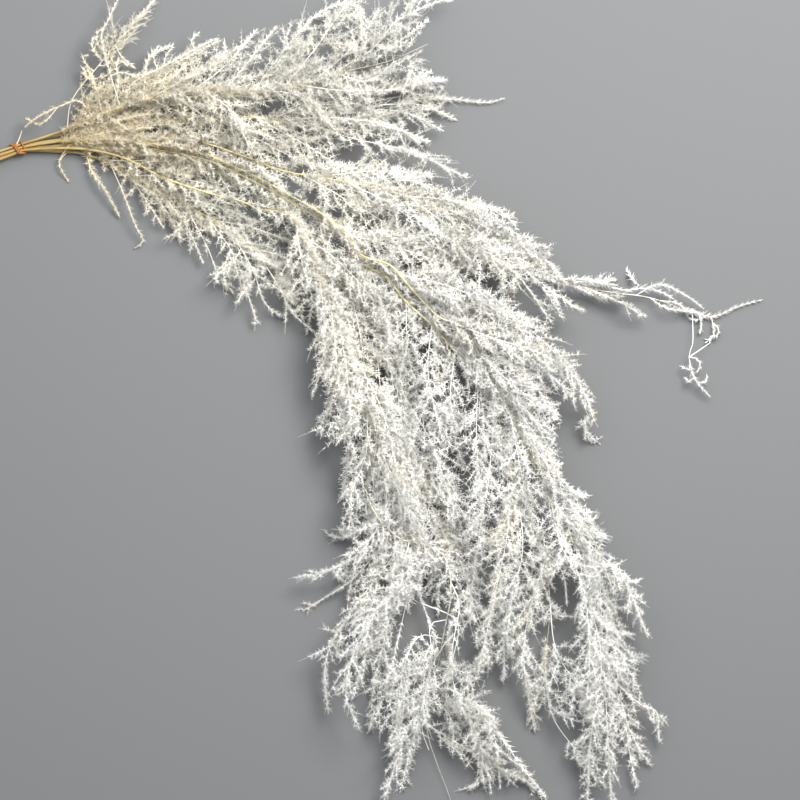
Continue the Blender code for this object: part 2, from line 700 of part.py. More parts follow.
def spray(name, stem, room, draw):
    """One spray: its stem with the plumes, branchlets and needles that grow from it, as one surface."""
    shares = root_shares(PLUMES[name], stem.line)
    for index, (share, points) in enumerate(zip(shares, PLUMES[name])):
        add_plume(stem, share, points, TIP_FALL[index % len(TIP_FALL)], name, room, draw)
    stem.knots.sort(key=lambda knot: knot.share)
    shape = bmesh.new()
    stem.grow(shape)
    body = add_object(name, shape)
    body.data.materials.append(material(name, COLOURS[name], FERN_ROUGHNESS))
    return body


def band_loop(grow):
    """Points across the bundle and up, round a rounded rectangle that is grown from the stems outward."""
    half_width = STEM_PITCH + STEM_CUT_RADIUS + BAND_FIT + grow
    half_height = LAYER_RISE + STEM_CUT_RADIUS + BAND_FIT + grow
    corner = STEM_CUT_RADIUS + BAND_FIT + grow
    points = []
    for quarter, (side, rise) in enumerate(((1, 1), (-1, 1), (-1, -1), (1, -1))):
        for step in range(BAND_CORNER_STEPS):
            angle = math.pi / 2 * (quarter + step / (BAND_CORNER_STEPS - 1))
            points.append((side * (half_width - corner) + corner * math.cos(angle),
                           rise * (half_height - corner) + corner * math.sin(angle)))
    return points


def rubber_band():
    """The band: turns side by side, as one ring with a groove between each two and a flat underside."""
    along, across = bundle_axes()
    middle = Vector((0, 0, LAYER_RISE + STEM_CUT_RADIUS + BAND_FIT + BAND_THICKNESS))
    width = BAND_TURNS * BAND_TURN_WIDTH
    profile = [(-width / 2, 0.0), (-width / 2, BAND_THICKNESS - BAND_GROOVE)]
    for turn in range(BAND_TURNS):
        start = -width / 2 + turn * BAND_TURN_WIDTH
        profile += [(start + share * BAND_TURN_WIDTH, BAND_THICKNESS) for share in BAND_CREST]
        profile.append((start + BAND_TURN_WIDTH, BAND_THICKNESS - BAND_GROOVE))
    profile.append((width / 2, 0.0))
    shape = bmesh.new()
    loops = []
    for forward, grow in profile:
        loops.append([shape.verts.new(middle + forward * along + side * across + Vector((0, 0, rise)))
                      for side, rise in band_loop(grow)])
    count = len(loops[0])
    for lower, upper in zip(loops, loops[1:] + loops[:1]):
        for index in range(count):
            after = (index + 1) % count
            shape.faces.new((lower[index], lower[after], upper[after], upper[index]))
    band = add_object("rubber_band", shape)
    band.data.materials.append(material("rubber_band", BAND_COLOUR, BAND_ROUGHNESS))
    return band


def main():
    """Builds the band and the eight sprays in an empty scene."""
    for item in list(bpy.data.objects):
        bpy.data.objects.remove(item)
    draw = random.Random(11)
    room = Room()
    stems = {}
    for name in STEMS:
        stems[name] = Branch(stem_line(name, draw), STEM_CUT_RADIUS, STEM_TIP_RADIUS, STEM_SIDES, STEM_KNOT)
        room.take(stems[name].core_pieces(), name, stems[name])
    for name, stem in stems.items():
        spray(name, stem, room, draw)
    rubber_band()


main()
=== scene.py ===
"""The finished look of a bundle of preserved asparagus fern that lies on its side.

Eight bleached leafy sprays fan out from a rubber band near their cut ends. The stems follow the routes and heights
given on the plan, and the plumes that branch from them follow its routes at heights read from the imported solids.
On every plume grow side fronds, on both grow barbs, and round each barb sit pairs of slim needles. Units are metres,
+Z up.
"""

import itertools
import json
import logging
import math
import random
from dataclasses import dataclass, field, fields, replace
from enum import Enum

import bpy
import numpy as np
from mathutils import Euler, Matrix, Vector
from mathutils.kdtree import KDTree

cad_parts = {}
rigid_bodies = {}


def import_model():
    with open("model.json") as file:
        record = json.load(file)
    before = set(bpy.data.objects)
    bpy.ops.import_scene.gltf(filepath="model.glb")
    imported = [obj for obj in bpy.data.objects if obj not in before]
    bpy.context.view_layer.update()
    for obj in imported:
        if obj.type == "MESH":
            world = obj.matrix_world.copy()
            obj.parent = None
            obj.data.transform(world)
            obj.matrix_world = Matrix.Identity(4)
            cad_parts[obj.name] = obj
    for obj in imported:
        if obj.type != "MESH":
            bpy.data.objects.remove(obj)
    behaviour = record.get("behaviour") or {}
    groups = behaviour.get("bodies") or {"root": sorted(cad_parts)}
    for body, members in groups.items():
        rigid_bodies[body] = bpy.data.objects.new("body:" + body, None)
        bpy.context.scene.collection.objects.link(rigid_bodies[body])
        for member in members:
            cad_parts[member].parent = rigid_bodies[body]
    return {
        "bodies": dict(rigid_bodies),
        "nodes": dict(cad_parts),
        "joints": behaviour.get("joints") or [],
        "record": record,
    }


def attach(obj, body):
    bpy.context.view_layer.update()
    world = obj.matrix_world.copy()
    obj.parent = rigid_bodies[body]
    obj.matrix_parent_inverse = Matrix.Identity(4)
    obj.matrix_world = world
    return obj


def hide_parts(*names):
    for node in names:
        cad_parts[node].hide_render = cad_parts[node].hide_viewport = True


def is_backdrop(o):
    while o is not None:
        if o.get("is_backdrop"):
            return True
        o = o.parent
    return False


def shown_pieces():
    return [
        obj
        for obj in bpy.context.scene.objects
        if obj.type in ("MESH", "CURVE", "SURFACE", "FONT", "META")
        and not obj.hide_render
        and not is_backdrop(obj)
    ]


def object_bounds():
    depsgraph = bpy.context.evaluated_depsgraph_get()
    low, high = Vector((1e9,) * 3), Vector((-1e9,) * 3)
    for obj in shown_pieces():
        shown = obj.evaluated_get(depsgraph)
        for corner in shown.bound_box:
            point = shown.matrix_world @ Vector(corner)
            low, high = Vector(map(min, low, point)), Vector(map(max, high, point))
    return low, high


LOG = logging.getLogger("fern_bundle")
Array = np.ndarray
MILLIMETRE = 0.001
UP = np.array((0.0, 0.0, 1.0))
GOLDEN_TURN = math.radians(137.5)
WHITE = (1.0, 1.0, 1.0)
FIRST_SEED = 100

# Number of points on a stretch of a stem, the radii of the needles at their roots, and the shares of their length
# at which the cores of shoots may bend
STRETCH_POINTS = 80
PAIR_RADIUS, SPAR_RADIUS = 0.00025, 0.00024
BARB_STATIONS, FROND_STATIONS = (0.5,), (0.33, 0.67)

# The plan seen from above: one step is one pixel of the photograph, X to the right and Y down. A third number
# is the height of a centre line above the surface, in millimetres.
PLAN_STEP = 0.0009
BAND_ON_PLAN = (16.0, 147.5)

# Centre lines of the stems from the band to their tips
STEMS = {
    "spray_upper": [
        (60, 130, 12), (100, 113, 20), (150, 99, 30), (200, 91, 40), (255, 92, 46), (300, 86, 44),
        (345, 72, 36), (388, 61, 27), (428, 43, 18),
    ],
    "spray_upper_under": [
        (60, 133, 5), (100, 128, 10), (140, 124, 15), (190, 117, 20), (240, 116, 23), (300, 119, 23),
        (350, 110, 20), (400, 101, 14), (445, 97, 8), (475, 100, 5),
        (493, 100, 4), (505, 96, 3),
    ],
    "spray_trailing": [
        (60, 138, 8.5), (100, 134, 13), (150, 137, 20), (200, 142, 28), (245, 157, 36), (285, 172, 44),
        (330, 180, 50), (380, 190, 54), (430, 206, 52), (480, 229, 44), (520, 252, 34), (560, 280, 24),
        (600, 290, 17), (650, 297, 11), (690, 310, 7), (716, 316, 5), (740, 306, 3.5), (765, 299, 2.5),
    ],
    "spray_main": [
        (60, 144, 8.5), (100, 142, 13), (150, 148, 21), (200, 158, 28), (230, 170, 33), (262, 186, 37),
        (290, 202, 40), (320, 220, 42), (345, 238, 44), (364, 264, 46), (388, 279, 48), (405, 301, 50),
        (430, 324, 50), (455, 352, 48), (475, 380, 46), (492, 412, 43), (505, 450, 40), (520, 495, 36),
        (535, 530, 31), (545, 562, 26), (550, 600, 20), (548, 640, 14), (540, 685, 8), (531, 722, 3),
    ],
    "spray_right_column": [
        (60, 140, 13), (100, 139, 18), (150, 143, 26), (200, 152, 34), (230, 165, 38), (262, 180, 43),
        (290, 196, 48), (318, 212, 52), (342, 230, 56), (362, 256, 59), (390, 266, 60), (410, 288, 60),
        (438, 317, 60), (462, 326, 59), (476, 350, 58), (490, 375, 56), (505, 402, 54), (520, 435, 51),
        (540, 480, 47), (560, 520, 42), (580, 550, 37), (598, 578, 32), (612, 615, 26), (619, 655, 20),
        (622, 700, 14), (628, 735, 8), (638, 765, 4),
    ],
    "spray_left_column": [
        (60, 147, 12), (90, 149, 15), (125, 158, 21), (165, 178, 27), (215, 195, 32), (240, 201, 34),
        (262, 210, 36), (288, 214, 40), (305, 238, 44), (322, 275, 46), (338, 320, 47), (352, 365, 47),
        (366, 410, 46), (376, 440, 45), (373, 462, 44), (366, 490, 42), (378, 517, 41), (400, 538, 40),
        (430, 546, 38), (446, 560, 36), (451, 592, 32), (445, 628, 26), (438, 665, 20), (429, 700, 15),
        (428, 735, 10), (437, 765, 6), (450, 800, 3.5), (456, 826, 2.5),
    ],
    "spray_centre": [
        (60, 145, 4.5), (100, 143, 8), (160, 152, 14), (230, 177, 20), (280, 206, 24), (325, 255, 26),
        (360, 305, 26), (385, 345, 25), (400, 385, 24), (410, 430, 22), (420, 480, 19), (440, 520, 15),
        (460, 560, 10), (472, 598, 5),
    ],
    "spray_lower_left": [
        (60, 150, 4), (80, 152, 5), (110, 163, 7), (150, 186, 9), (190, 207, 12), (230, 229, 13),
        (265, 257, 11), (290, 289, 7), (304, 322, 3),
    ],
}

# Plumes of each spray, root to tip on the plan, near the cut end first
PLUMES = {
    "spray_upper": [
        [(66, 124), (72, 98), (100, 63), (118, 40), (140, 14), (158, -10)],
        [(100, 63), (102, 42), (108, 20), (120, -8)],
        [(112, 108), (118, 85), (116, 60), (132, 66)],
        [(92, 116), (78, 100), (60, 106), (42, 114), (24, 126)],
        [(100, 113), (96, 90), (84, 64)],
        [(118, 108), (132, 84), (165, 66), (200, 46), (216, 38)],
        [(140, 82), (148, 58), (172, 42)],
        [(150, 98), (185, 80), (222, 62), (224, 38)],
        [(190, 92), (222, 70), (256, 28)],
        [(225, 91), (252, 60), (277, 28)],
        [(255, 92), (282, 55), (310, 20), (328, 12)],
        [(285, 89), (318, 48), (350, 6), (366, 38)],
        [(315, 82), (350, 50), (378, 9)],
        [(340, 74), (375, 48), (400, 20), (452, -4)],
        [(365, 66), (395, 45), (428, 18)],
        [(200, 91), (232, 112), (250, 148), (272, 188)],
        [(170, 95), (205, 118), (232, 150)],
        [(260, 92), (300, 98), (335, 130)],
        [(300, 86), (345, 92), (400, 88), (432, 68)],
        [(335, 76), (370, 82), (405, 56), (416, 78), (445, 80)],
    ],
    "spray_upper_under": [
        [(85, 130), (110, 112), (150, 112)],
        [(130, 125), (165, 100), (205, 88)],
        [(175, 119), (215, 92), (262, 72)],
        [(230, 116), (270, 80), (325, 58)],
        [(275, 118), (325, 95), (385, 66)],
        [(330, 114), (375, 92), (442, 78)],
        [(380, 104), (420, 104), (457, 118)],
        [(360, 108), (405, 112), (444, 130)],
        [(348, 111), (385, 122), (412, 134), (430, 140)],
        [(300, 119), (350, 138), (410, 152), (468, 178)],
        [(255, 117), (300, 142), (345, 168), (388, 186)],
        [(210, 117), (255, 138), (300, 160), (345, 168)],
        [(160, 121), (200, 134), (245, 146), (280, 150)],
        [(290, 119), (340, 118), (390, 126), (420, 142)],
    ],
    "spray_trailing": [
        [(320, 178), (375, 172), (432, 172)],
        [(370, 187), (412, 182), (452, 200)],
        [(405, 197), (455, 202), (500, 212), (516, 227)],
        [(440, 210), (485, 220), (518, 236)],
        [(475, 226), (520, 242), (556, 270), (566, 290)],
        [(350, 184), (400, 210), (450, 240), (495, 262)],
        [(300, 176), (345, 200), (395, 230), (430, 262)],
        [(410, 200), (465, 240), (515, 275), (552, 324)],
        [(455, 217), (500, 255), (540, 285), (564, 320)],
        [(490, 235), (530, 275), (560, 298), (582, 313)],
        [(555, 277), (585, 282), (617, 279)],
        [(590, 288), (620, 302), (647, 317)],
        [(610, 291), (640, 287), (634, 280), (628, 268)],
        [(635, 294), (660, 284), (685, 294), (705, 308)],
        [(650, 297), (668, 308), (700, 312)],
        [(692, 311), (694, 342), (690, 357), (697, 380), (712, 397)],
        [(714, 317), (716, 334), (708, 342)],
    ],
    "spray_main": [
        [(380, 275), (440, 285), (505, 312), (560, 360), (590, 405), (585, 428), (602, 445)],
        [(400, 294), (460, 320), (520, 352), (555, 380), (575, 400)],
        [(425, 320), (490, 352), (525, 375), (558, 418)],
        [(450, 346), (500, 385), (545, 432)],
        [(470, 373), (515, 415), (552, 466)],
        [(345, 238), (390, 238), (440, 250), (480, 276)],
        [(350, 246), (362, 285), (372, 330)],
        [(372, 268), (385, 315), (400, 368)],
        [(405, 301), (408, 350), (420, 408)],
        [(430, 324), (428, 375), (442, 440)],
        [(455, 352), (450, 405), (462, 470)],
        [(478, 386), (476, 440), (482, 505)],
        [(494, 418), (488, 480), (478, 540), (470, 616)],
        [(505, 450), (508, 520), (495, 590), (478, 672)],
        [(516, 484), (522, 550), (505, 620), (505, 680)],
        [(540, 545), (562, 572), (567, 605)],
        [(545, 562), (528, 615), (524, 665), (536, 735)],
        [(550, 600), (556, 650), (580, 690), (600, 735)],
        [(545, 660), (552, 715), (582, 758), (606, 790)],
    ],
    "spray_right_column": [
        [(345, 235), (395, 248), (450, 268), (492, 300)],
        [(400, 276), (455, 290), (510, 322), (545, 362)],
        [(440, 318), (490, 338), (535, 352), (575, 372)],
        [(478, 352), (520, 392), (555, 412)],
        [(497, 386), (535, 435), (562, 480)],
        [(512, 416), (550, 468), (584, 500)],
        [(530, 458), (568, 500), (603, 545)],
        [(548, 498), (590, 545), (622, 578), (648, 638)],
        [(508, 408), (520, 470), (535, 545)],
        [(550, 500), (560, 545), (580, 580), (588, 640), (586, 700)],
        [(575, 543), (588, 600), (600, 660), (590, 740), (588, 820)],
        [(600, 585), (602, 650), (606, 720), (612, 812)],
        [(617, 648), (631, 674), (638, 694)],
        [(621, 690), (642, 706), (657, 712), (660, 743)],
        [(623, 705), (632, 735), (652, 768)],
        [(628, 735), (632, 762), (639, 790)],
    ],
    "spray_left_column": [
        [(296, 222), (302, 262), (312, 300), (306, 334)],
        [(313, 256), (322, 295), (326, 350), (314, 392)],
        [(327, 290), (334, 330), (336, 385), (316, 436)],
        [(340, 325), (348, 380), (350, 420), (336, 446)],
        [(355, 375), (350, 415), (348, 465), (342, 500)],
        [(368, 415), (366, 455), (350, 500), (354, 530)],
        [(304, 238), (345, 268), (385, 320), (400, 380)],
        [(345, 345), (378, 400), (395, 460), (400, 520)],
        [(375, 440), (398, 490), (420, 535), (434, 575)],
        [(444, 558), (415, 563), (392, 590), (362, 630), (346, 690), (359, 726)],
        [(408, 540), (398, 585), (384, 640), (372, 700)],
        [(448, 582), (459, 606), (452, 650), (456, 690), (486, 712), (492, 742), (522, 768)],
        [(447, 620), (430, 626), (432, 660), (422, 705), (400, 795)],
        [(442, 640), (420, 636), (406, 660), (398, 705), (396, 760)],
        [(440, 655), (422, 652), (404, 672), (375, 712), (370, 730)],
        [(437, 670), (420, 702), (402, 745), (384, 800)],
        [(456, 690), (476, 730), (482, 780), (467, 791)],
        [(433, 690), (452, 722), (452, 752)],
        [(488, 725), (500, 770), (525, 782), (545, 800)],
        [(438, 668), (462, 672), (470, 682), (455, 705)],
    ],
    "spray_centre": [
        [(318, 246), (330, 300), (342, 355), (352, 410)],
        [(350, 290), (362, 345), (368, 405), (376, 450)],
        [(375, 328), (380, 385), (385, 440), (378, 500)],
        [(395, 370), (402, 425), (415, 480)],
        [(406, 410), (388, 465), (372, 520), (340, 538), (328, 536)],
        [(412, 440), (392, 500), (362, 550), (330, 570), (297, 580)],
        [(416, 460), (392, 530), (354, 578), (326, 598), (302, 613)],
        [(422, 484), (400, 545), (352, 610), (326, 660), (328, 715)],
        [(430, 503), (410, 565), (375, 630), (352, 700)],
        [(440, 520), (412, 585), (398, 640), (385, 695)],
        [(448, 536), (440, 575), (438, 618)],
        [(460, 560), (472, 600), (486, 650), (462, 684)],
        [(340, 278), (395, 300), (440, 345), (455, 400)],
        [(402, 392), (430, 440), (448, 490), (468, 545)],
        [(412, 440), (436, 480), (470, 520), (500, 560)],
    ],
    "spray_lower_left": [
        [(64, 150), (57, 160), (60, 170), (66, 180)],
        [(86, 154), (90, 170), (104, 190), (118, 216)],
        [(108, 162), (122, 192), (134, 224), (142, 240), (133, 247)],
        [(125, 171), (148, 204), (163, 228)],
        [(145, 183), (168, 214), (181, 242)],
        [(162, 193), (188, 230), (202, 262)],
        [(185, 205), (206, 245), (218, 275), (233, 293)],
        [(205, 215), (234, 255), (246, 290), (256, 321)],
        [(228, 228), (252, 268), (264, 302), (281, 316)],
        [(250, 244), (276, 282), (292, 312), (314, 332)],
        [(130, 174), (170, 176), (215, 186), (250, 200)],
        [(170, 197), (212, 204), (262, 224)],
        [(215, 220), (256, 228), (300, 246)],
        [(255, 248), (285, 258), (312, 282)],
        [(100, 158), (130, 160), (165, 160), (200, 176)],
    ],
}

# The stretches of each stem that lie on top of the leaves, as first and last points of its line above
ON_TOP = {
    "spray_upper": [(6, 8)],
    "spray_trailing": [(3, 5)],
    "spray_main": [(2, 7), (9, 13)],
    "spray_right_column": [(3, 7), (9, 12)],
    "spray_left_column": [(0, 4), (6, 7)],
}
# Stretches that show as a thin line only: fronds are kept below them in a narrower strip
JUST_ON_TOP = {
    "spray_trailing": [(11, 13)],
    "spray_right_column": [(13, 18)],
    "spray_left_column": [(12, 22)],
}
# The stretch of each stem that carries fronds of its own, as its first and last points on the same line
DRESSED = {
    "spray_upper": (0, 6),
    "spray_upper_under": (0, 8),
    "spray_trailing": (1, 11),
    "spray_main": (1, 20),
    "spray_right_column": (1, 24),
    "spray_left_column": (2, 20),
    "spray_centre": (0, 12),
    "spray_lower_left": (1, 7),
}
# The stretch of each stem near the band that short tufts cover from above, in the same way
TUFTED = {
    "spray_upper": [(0, 5)],
    "spray_upper_under": [(0, 3)],
    "spray_trailing": [(0, 3)],
    "spray_main": [(0, 2), (7, 9)],
    "spray_right_column": [(0, 3), (7, 9)],
    "spray_left_column": [(7, 9)],
}
# How far from the band the colour of each stem has faded to cream
FADED_AT = {"spray_upper": 0.36, "spray_upper_under": 0.38, "spray_trailing": 0.56, "spray_left_column": 0.56}
# Where a stem is thicker or slimmer than its taper: from and to which distance from its cut end, and how many times
GIRTHS = {
    "spray_upper_under": (0.36, 0.60, 0.45),
    "spray_main": (0.365, 0.455, 1.5),
    "spray_right_column": (0.345, 0.455, 1.45),
}
# How much more than usual the fronds of some sprays curl
RESTLESS = {"spray_upper": 1.8, "spray_upper_under": 1.8, "spray_trailing": 1.3}
# Places where the ground shows between the plumes or beside them: middle and half sides on the plan
CLEARINGS = (
    (350, 152, 9, 11), (412, 127, 7, 7), (387, 101, 8, 6), (465, 277, 9, 6), (531, 287, 15, 10), (422, 622, 21, 19),
    (464, 648, 11, 12), (514, 720, 12, 38), (562, 590, 15, 14), (560, 630, 14, 12), (554, 745, 13, 30),
    (377, 375, 5, 9), (311, 320, 6, 18), (455, 140, 22, 12), (438, 25, 10, 22), (483, 124, 28, 15),
    (508, 196, 30, 15), (545, 222, 22, 14), (568, 262, 14, 12), (575, 330, 22, 16), (610, 380, 16, 26),
    (585, 470, 22, 24), (630, 554, 13, 20), (664, 645, 12, 34), (655, 690, 14, 20), (332, 470, 12, 30),
    (300, 330, 16, 16), (260, 300, 18, 10), (205, 255, 16, 14), (330, 600, 12, 20), (309, 690, 8, 30),
    (62, 100, 12, 8), (186, 22, 26, 12), (300, 8, 26, 10), (365, 775, 18, 24), (430, 775, 14, 22),
    (400, 640, 8, 16), (492, 166, 16, 12), (536, 640, 7, 22), (450, 58, 24, 19), (267, 14, 12, 12),
)
# Parts of the plan where the leaves are thin and let the ground show through: middle and half sides
THIN_PARTS = (
    (350, 660, 75, 120), (445, 730, 110, 110), (600, 690, 90, 110), (515, 610, 60, 60), (355, 55, 130, 62),
    (240, 280, 80, 50), (640, 330, 140, 90), (130, 205, 60, 60), (130, 30, 70, 45), (330, 560, 50, 60),
    (420, 120, 80, 60), (350, 115, 60, 30),
)
BODY = "root"


@dataclass(frozen=True)
class Leafing:
    """How a plume is leaved along its length.

    Attributes:
        bare: Share of the plume from its root that carries nothing.
        frond_gap: Distance between side fronds, or 0 for none.
        frond_share: Length of the longest side frond as a share of the plume's length.
        frond_most: Most that a side frond may measure.
        brush_from: Share of the plume from which its own axis carries needles.
        outer: How far out its shoots count as sitting, from 0 in the thick of the leaves to 1 on a free twig.
    """

    bare: float
    frond_gap: float
    frond_share: float
    frond_most: float
    brush_from: float
    outer: float


class Habit(Enum):
    """The ways in which a plume is leaved."""

    FULL = Leafing(0.03, 0.0040, 0.30, 0.034, 0.60, 0.0)
    FILL = Leafing(0.03, 0.0036, 0.50, 0.018, 0.30, 0.1)
    FUZZ = Leafing(0.02, 0.0020, 0.30, 0.013, 0.10, 0.1)
    EDGE = Leafing(0.05, 0.0034, 0.30, 0.011, 0.30, 0.3)
    WISP = Leafing(0.45, 0.0026, 0.26, 0.030, 0.60, 0.45)
    DRESS = Leafing(0.0, 0.0042, 1.0, 0.026, 2.0, 0.0)
    TUFT = Leafing(0.0, 0.0015, 1.0, 0.013, 2.0, 0.0)
    SLIM = Leafing(0.08, 0.0024, 0.12, 0.0065, 0.25, 0.8)
    THREAD = Leafing(0.25, 0.0060, 0.06, 0.004, 0.25, 0.9)
    LATE = Leafing(0.55, 0.0030, 0.12, 0.008, 0.60, 0.8)
    TWIG = Leafing(0.60, 0.0, 0.0, 0.0, 0.60, 0.9)
    BARE = Leafing(1.0, 0.0, 0.0, 0.0, 2.0, 1.0)


# The plumes of each spray that aren't full, by their number above
HABITS = {
    "spray_upper": {0: Habit.WISP, 1: Habit.THREAD, 2: Habit.THREAD, 3: Habit.SLIM, 4: Habit.SLIM, 5: Habit.EDGE,
                    6: Habit.THREAD, 7: Habit.EDGE},
    "spray_trailing": {12: Habit.TWIG, 13: Habit.SLIM, 14: Habit.SLIM, 15: Habit.LATE, 16: Habit.SLIM},
    "spray_lower_left": {0: Habit.THREAD, 1: Habit.SLIM, 2: Habit.THREAD},
}
# Slim lines that the solids leave out, each with its habit and the height of its tip as a share of its root's.
# Each starts on the nearest stem or plume of its spray
EXTRAS = {
    "spray_upper": [
        (Habit.FILL, 1.3, [(76, 123), (92, 101), (115, 84), (146, 73)]),
        (Habit.FILL, 1.3, [(84, 119), (106, 99), (138, 83), (176, 66)]),
        (Habit.FILL, 1.2, [(98, 114), (126, 97), (162, 80), (198, 58)]),
        (Habit.FILL, 1.1, [(120, 106), (156, 91), (194, 72), (226, 52)]),
        (Habit.FILL, 1.0, [(150, 98), (176, 84), (210, 66), (240, 46)]),
        (Habit.FILL, 1.0, [(150, 75), (176, 62), (202, 48), (220, 40)]),
        (Habit.FILL, 1.1, [(78, 122), (84, 104), (98, 88), (110, 78)]),
        (Habit.SLIM, 1.0, [(101, 60), (94, 52), (91, 41), (94, 36)]),
        (Habit.SLIM, 1.0, [(104, 54), (97, 44), (97, 32), (103, 28)]),
        (Habit.SLIM, 1.0, [(96, 72), (87, 66), (82, 56), (88, 55)]),
        (Habit.SLIM, 1.0, [(92, 80), (84, 76), (82, 66)]),
        (Habit.SLIM, 1.0, [(99, 68), (108, 64), (113, 54)]),
        (Habit.SLIM, 1.0, [(95, 76), (106, 74), (112, 66), (111, 58)]),
        (Habit.THREAD, 1.0, [(113, 46), (121, 56), (135, 68)]),
        (Habit.THREAD, 1.0, [(158, 71), (154, 60), (155, 51), (160, 46)]),
        (Habit.THREAD, 1.0, [(163, 68), (166, 56), (173, 48)]),
        (Habit.THREAD, 1.0, [(196, 50), (191, 42), (193, 36), (199, 32)]),
        (Habit.THREAD, 1.0, [(303, 30), (318, 14), (338, 5), (352, 4), (360, 13), (363, 26)]),
        (Habit.THREAD, 1.0, [(358, 68), (355, 50), (352, 34), (344, 22)]),
        (Habit.THREAD, 1.0, [(392, 56), (391, 40), (393, 24), (402, 14)]),
        (Habit.SLIM, 1.0, [(110, 76), (122, 72), (136, 76), (150, 72)]),
        (Habit.THREAD, 0.6, [(58, 107), (48, 118), (38, 124), (24, 117)]),
        (Habit.BARE, 1.1, [(15.5, 146), (17, 138), (20, 129)]),
    ],
    "spray_trailing": [
        (Habit.SLIM, 0.9, [(562, 279), (582, 279), (602, 283), (618, 285)]),
        (Habit.SLIM, 0.8, [(570, 283), (590, 281), (612, 287), (630, 291)]),
        (Habit.SLIM, 0.6, [(566, 282), (584, 290), (602, 299)]),
        (Habit.SLIM, 0.6, [(582, 287), (604, 295), (624, 303)]),
        (Habit.SLIM, 0.8, [(622, 293), (640, 288), (658, 290), (676, 299)]),
        (Habit.THREAD, 1.0, [(662, 299), (680, 303), (690, 314)]),
        (Habit.SLIM, 0.5, [(700, 313), (703, 322), (702, 333)]),
        (Habit.SLIM, 0.5, [(708, 315), (698, 320), (692, 318)]),
        (Habit.SLIM, 0.6, [(716, 324), (722, 330), (716, 338)]),
        (Habit.BARE, 0.8, [(693, 355), (702, 349), (712, 342)]),
        (Habit.SLIM, 0.6, [(691, 356), (699, 359), (702, 366), (698, 372)]),
        (Habit.SLIM, 0.6, [(694, 368), (688, 369), (682, 366)]),
        (Habit.SLIM, 0.6, [(697, 379), (690, 382), (686, 378)]),
        (Habit.SLIM, 0.6, [(700, 384), (707, 382), (709, 376)]),
    ],
    "spray_right_column": [
        (Habit.FUZZ, 1.7, [(68, 140), (92, 134), (122, 129), (152, 127)]),
        (Habit.FUZZ, 1.6, [(66, 139), (88, 129), (118, 119), (150, 113)]),
        (Habit.FUZZ, 1.4, [(70, 141), (96, 139), (126, 140), (156, 143)]),
    ],
    "spray_lower_left": [
        (Habit.EDGE, 1.0, [(446, 634), (432, 630), (418, 637), (410, 648), (406, 662)]),
        (Habit.BARE, 0.4, [(452, 592), (457, 622), (453, 660), (447, 694), (450, 722)]),
        (Habit.BARE, 0.4, [(444, 632), (431, 664), (423, 700), (422, 730), (429, 752)]),
        (Habit.EDGE, 0.6, [(468, 690), (486, 712), (496, 745), (501, 790)]),
        (Habit.EDGE, 0.6, [(476, 700), (500, 735), (520, 765), (545, 797)]),
        (Habit.EDGE, 0.6, [(462, 700), (474, 730), (486, 762), (492, 796)]),
        (Habit.SLIM, 0.6, [(400, 690), (396, 720), (402, 745), (396, 772)]),
    ],
    "spray_centre": [
        (Habit.FILL, 0.9, [(380, 348), (392, 366), (402, 390)]),
    ],
    "spray_upper_under": [
        (Habit.FILL, 1.0, [(136, 122), (152, 108), (178, 102), (206, 100)]),
    ],
    "spray_main": [
        (Habit.FILL, 0.9, [(344, 238), (350, 222), (362, 208), (382, 200)]),
        (Habit.FILL, 0.8, [(318, 220), (322, 236), (332, 250)]),
        (Habit.FILL, 0.9, [(448, 344), (468, 356), (490, 378), (506, 400)]),
        (Habit.EDGE, 0.7, [(590, 548), (612, 566), (630, 592), (642, 622)]),
        (Habit.FUZZ, 2.0, [(68, 144), (96, 146), (126, 149), (152, 156)]),
        (Habit.BARE, 0.5, [(71, 140), (65, 147), (57, 158)]),
    ],
}
# How the tip of each stem is leaved, past the share of its length at which its leaves begin
STEM_TIPS = {
    "spray_upper_under": (0.80, Habit.SLIM),
    "spray_trailing": (0.87, Habit.SLIM),
    "spray_main": (0.80, Habit.FULL),
    "spray_right_column": (0.85, Habit.FULL),
    "spray_centre": (0.80, Habit.FULL),
    "spray_lower_left": (0.70, Habit.SLIM),
}


def along(points: Array) -> Array:
    """The distance of each point of a line from its first one.

    Args:
        points: The points, one row each.

    Returns:
        One distance for each point.
    """
    steps = np.linalg.norm(np.diff(points, axis=0), axis=1)
    return np.concatenate([[0.0], np.cumsum(steps)])


def unit(vectors: Array) -> Array:
    """The vectors, one row each, at length one."""
    return vectors / np.maximum(np.linalg.norm(vectors, axis=-1, keepdims=True), 1e-12)


def from_plan(point: tuple) -> Array:
    """The place in metres of a point of the plan, which has a height in millimetres or none."""
    height = point[2] * MILLIMETRE if len(point) > 2 else 0.0
    right = (point[0] - BAND_ON_PLAN[0]) * PLAN_STEP
    return np.array((right, (BAND_ON_PLAN[1] - point[1]) * PLAN_STEP, height))


def from_middle(part: tuple, places: Array) -> Array:
    """How far places lie from the middle of a part of the plan, as shares of its half width and half height.

    Args:
        part: The part's middle and half sides on the plan.
        places: Places, one row each.

    Returns:
        Two shares for each place.
    """
    return (places[:, :2] - from_plan(part[:2])[:2]) / (np.array(part[2:]) * PLAN_STEP)


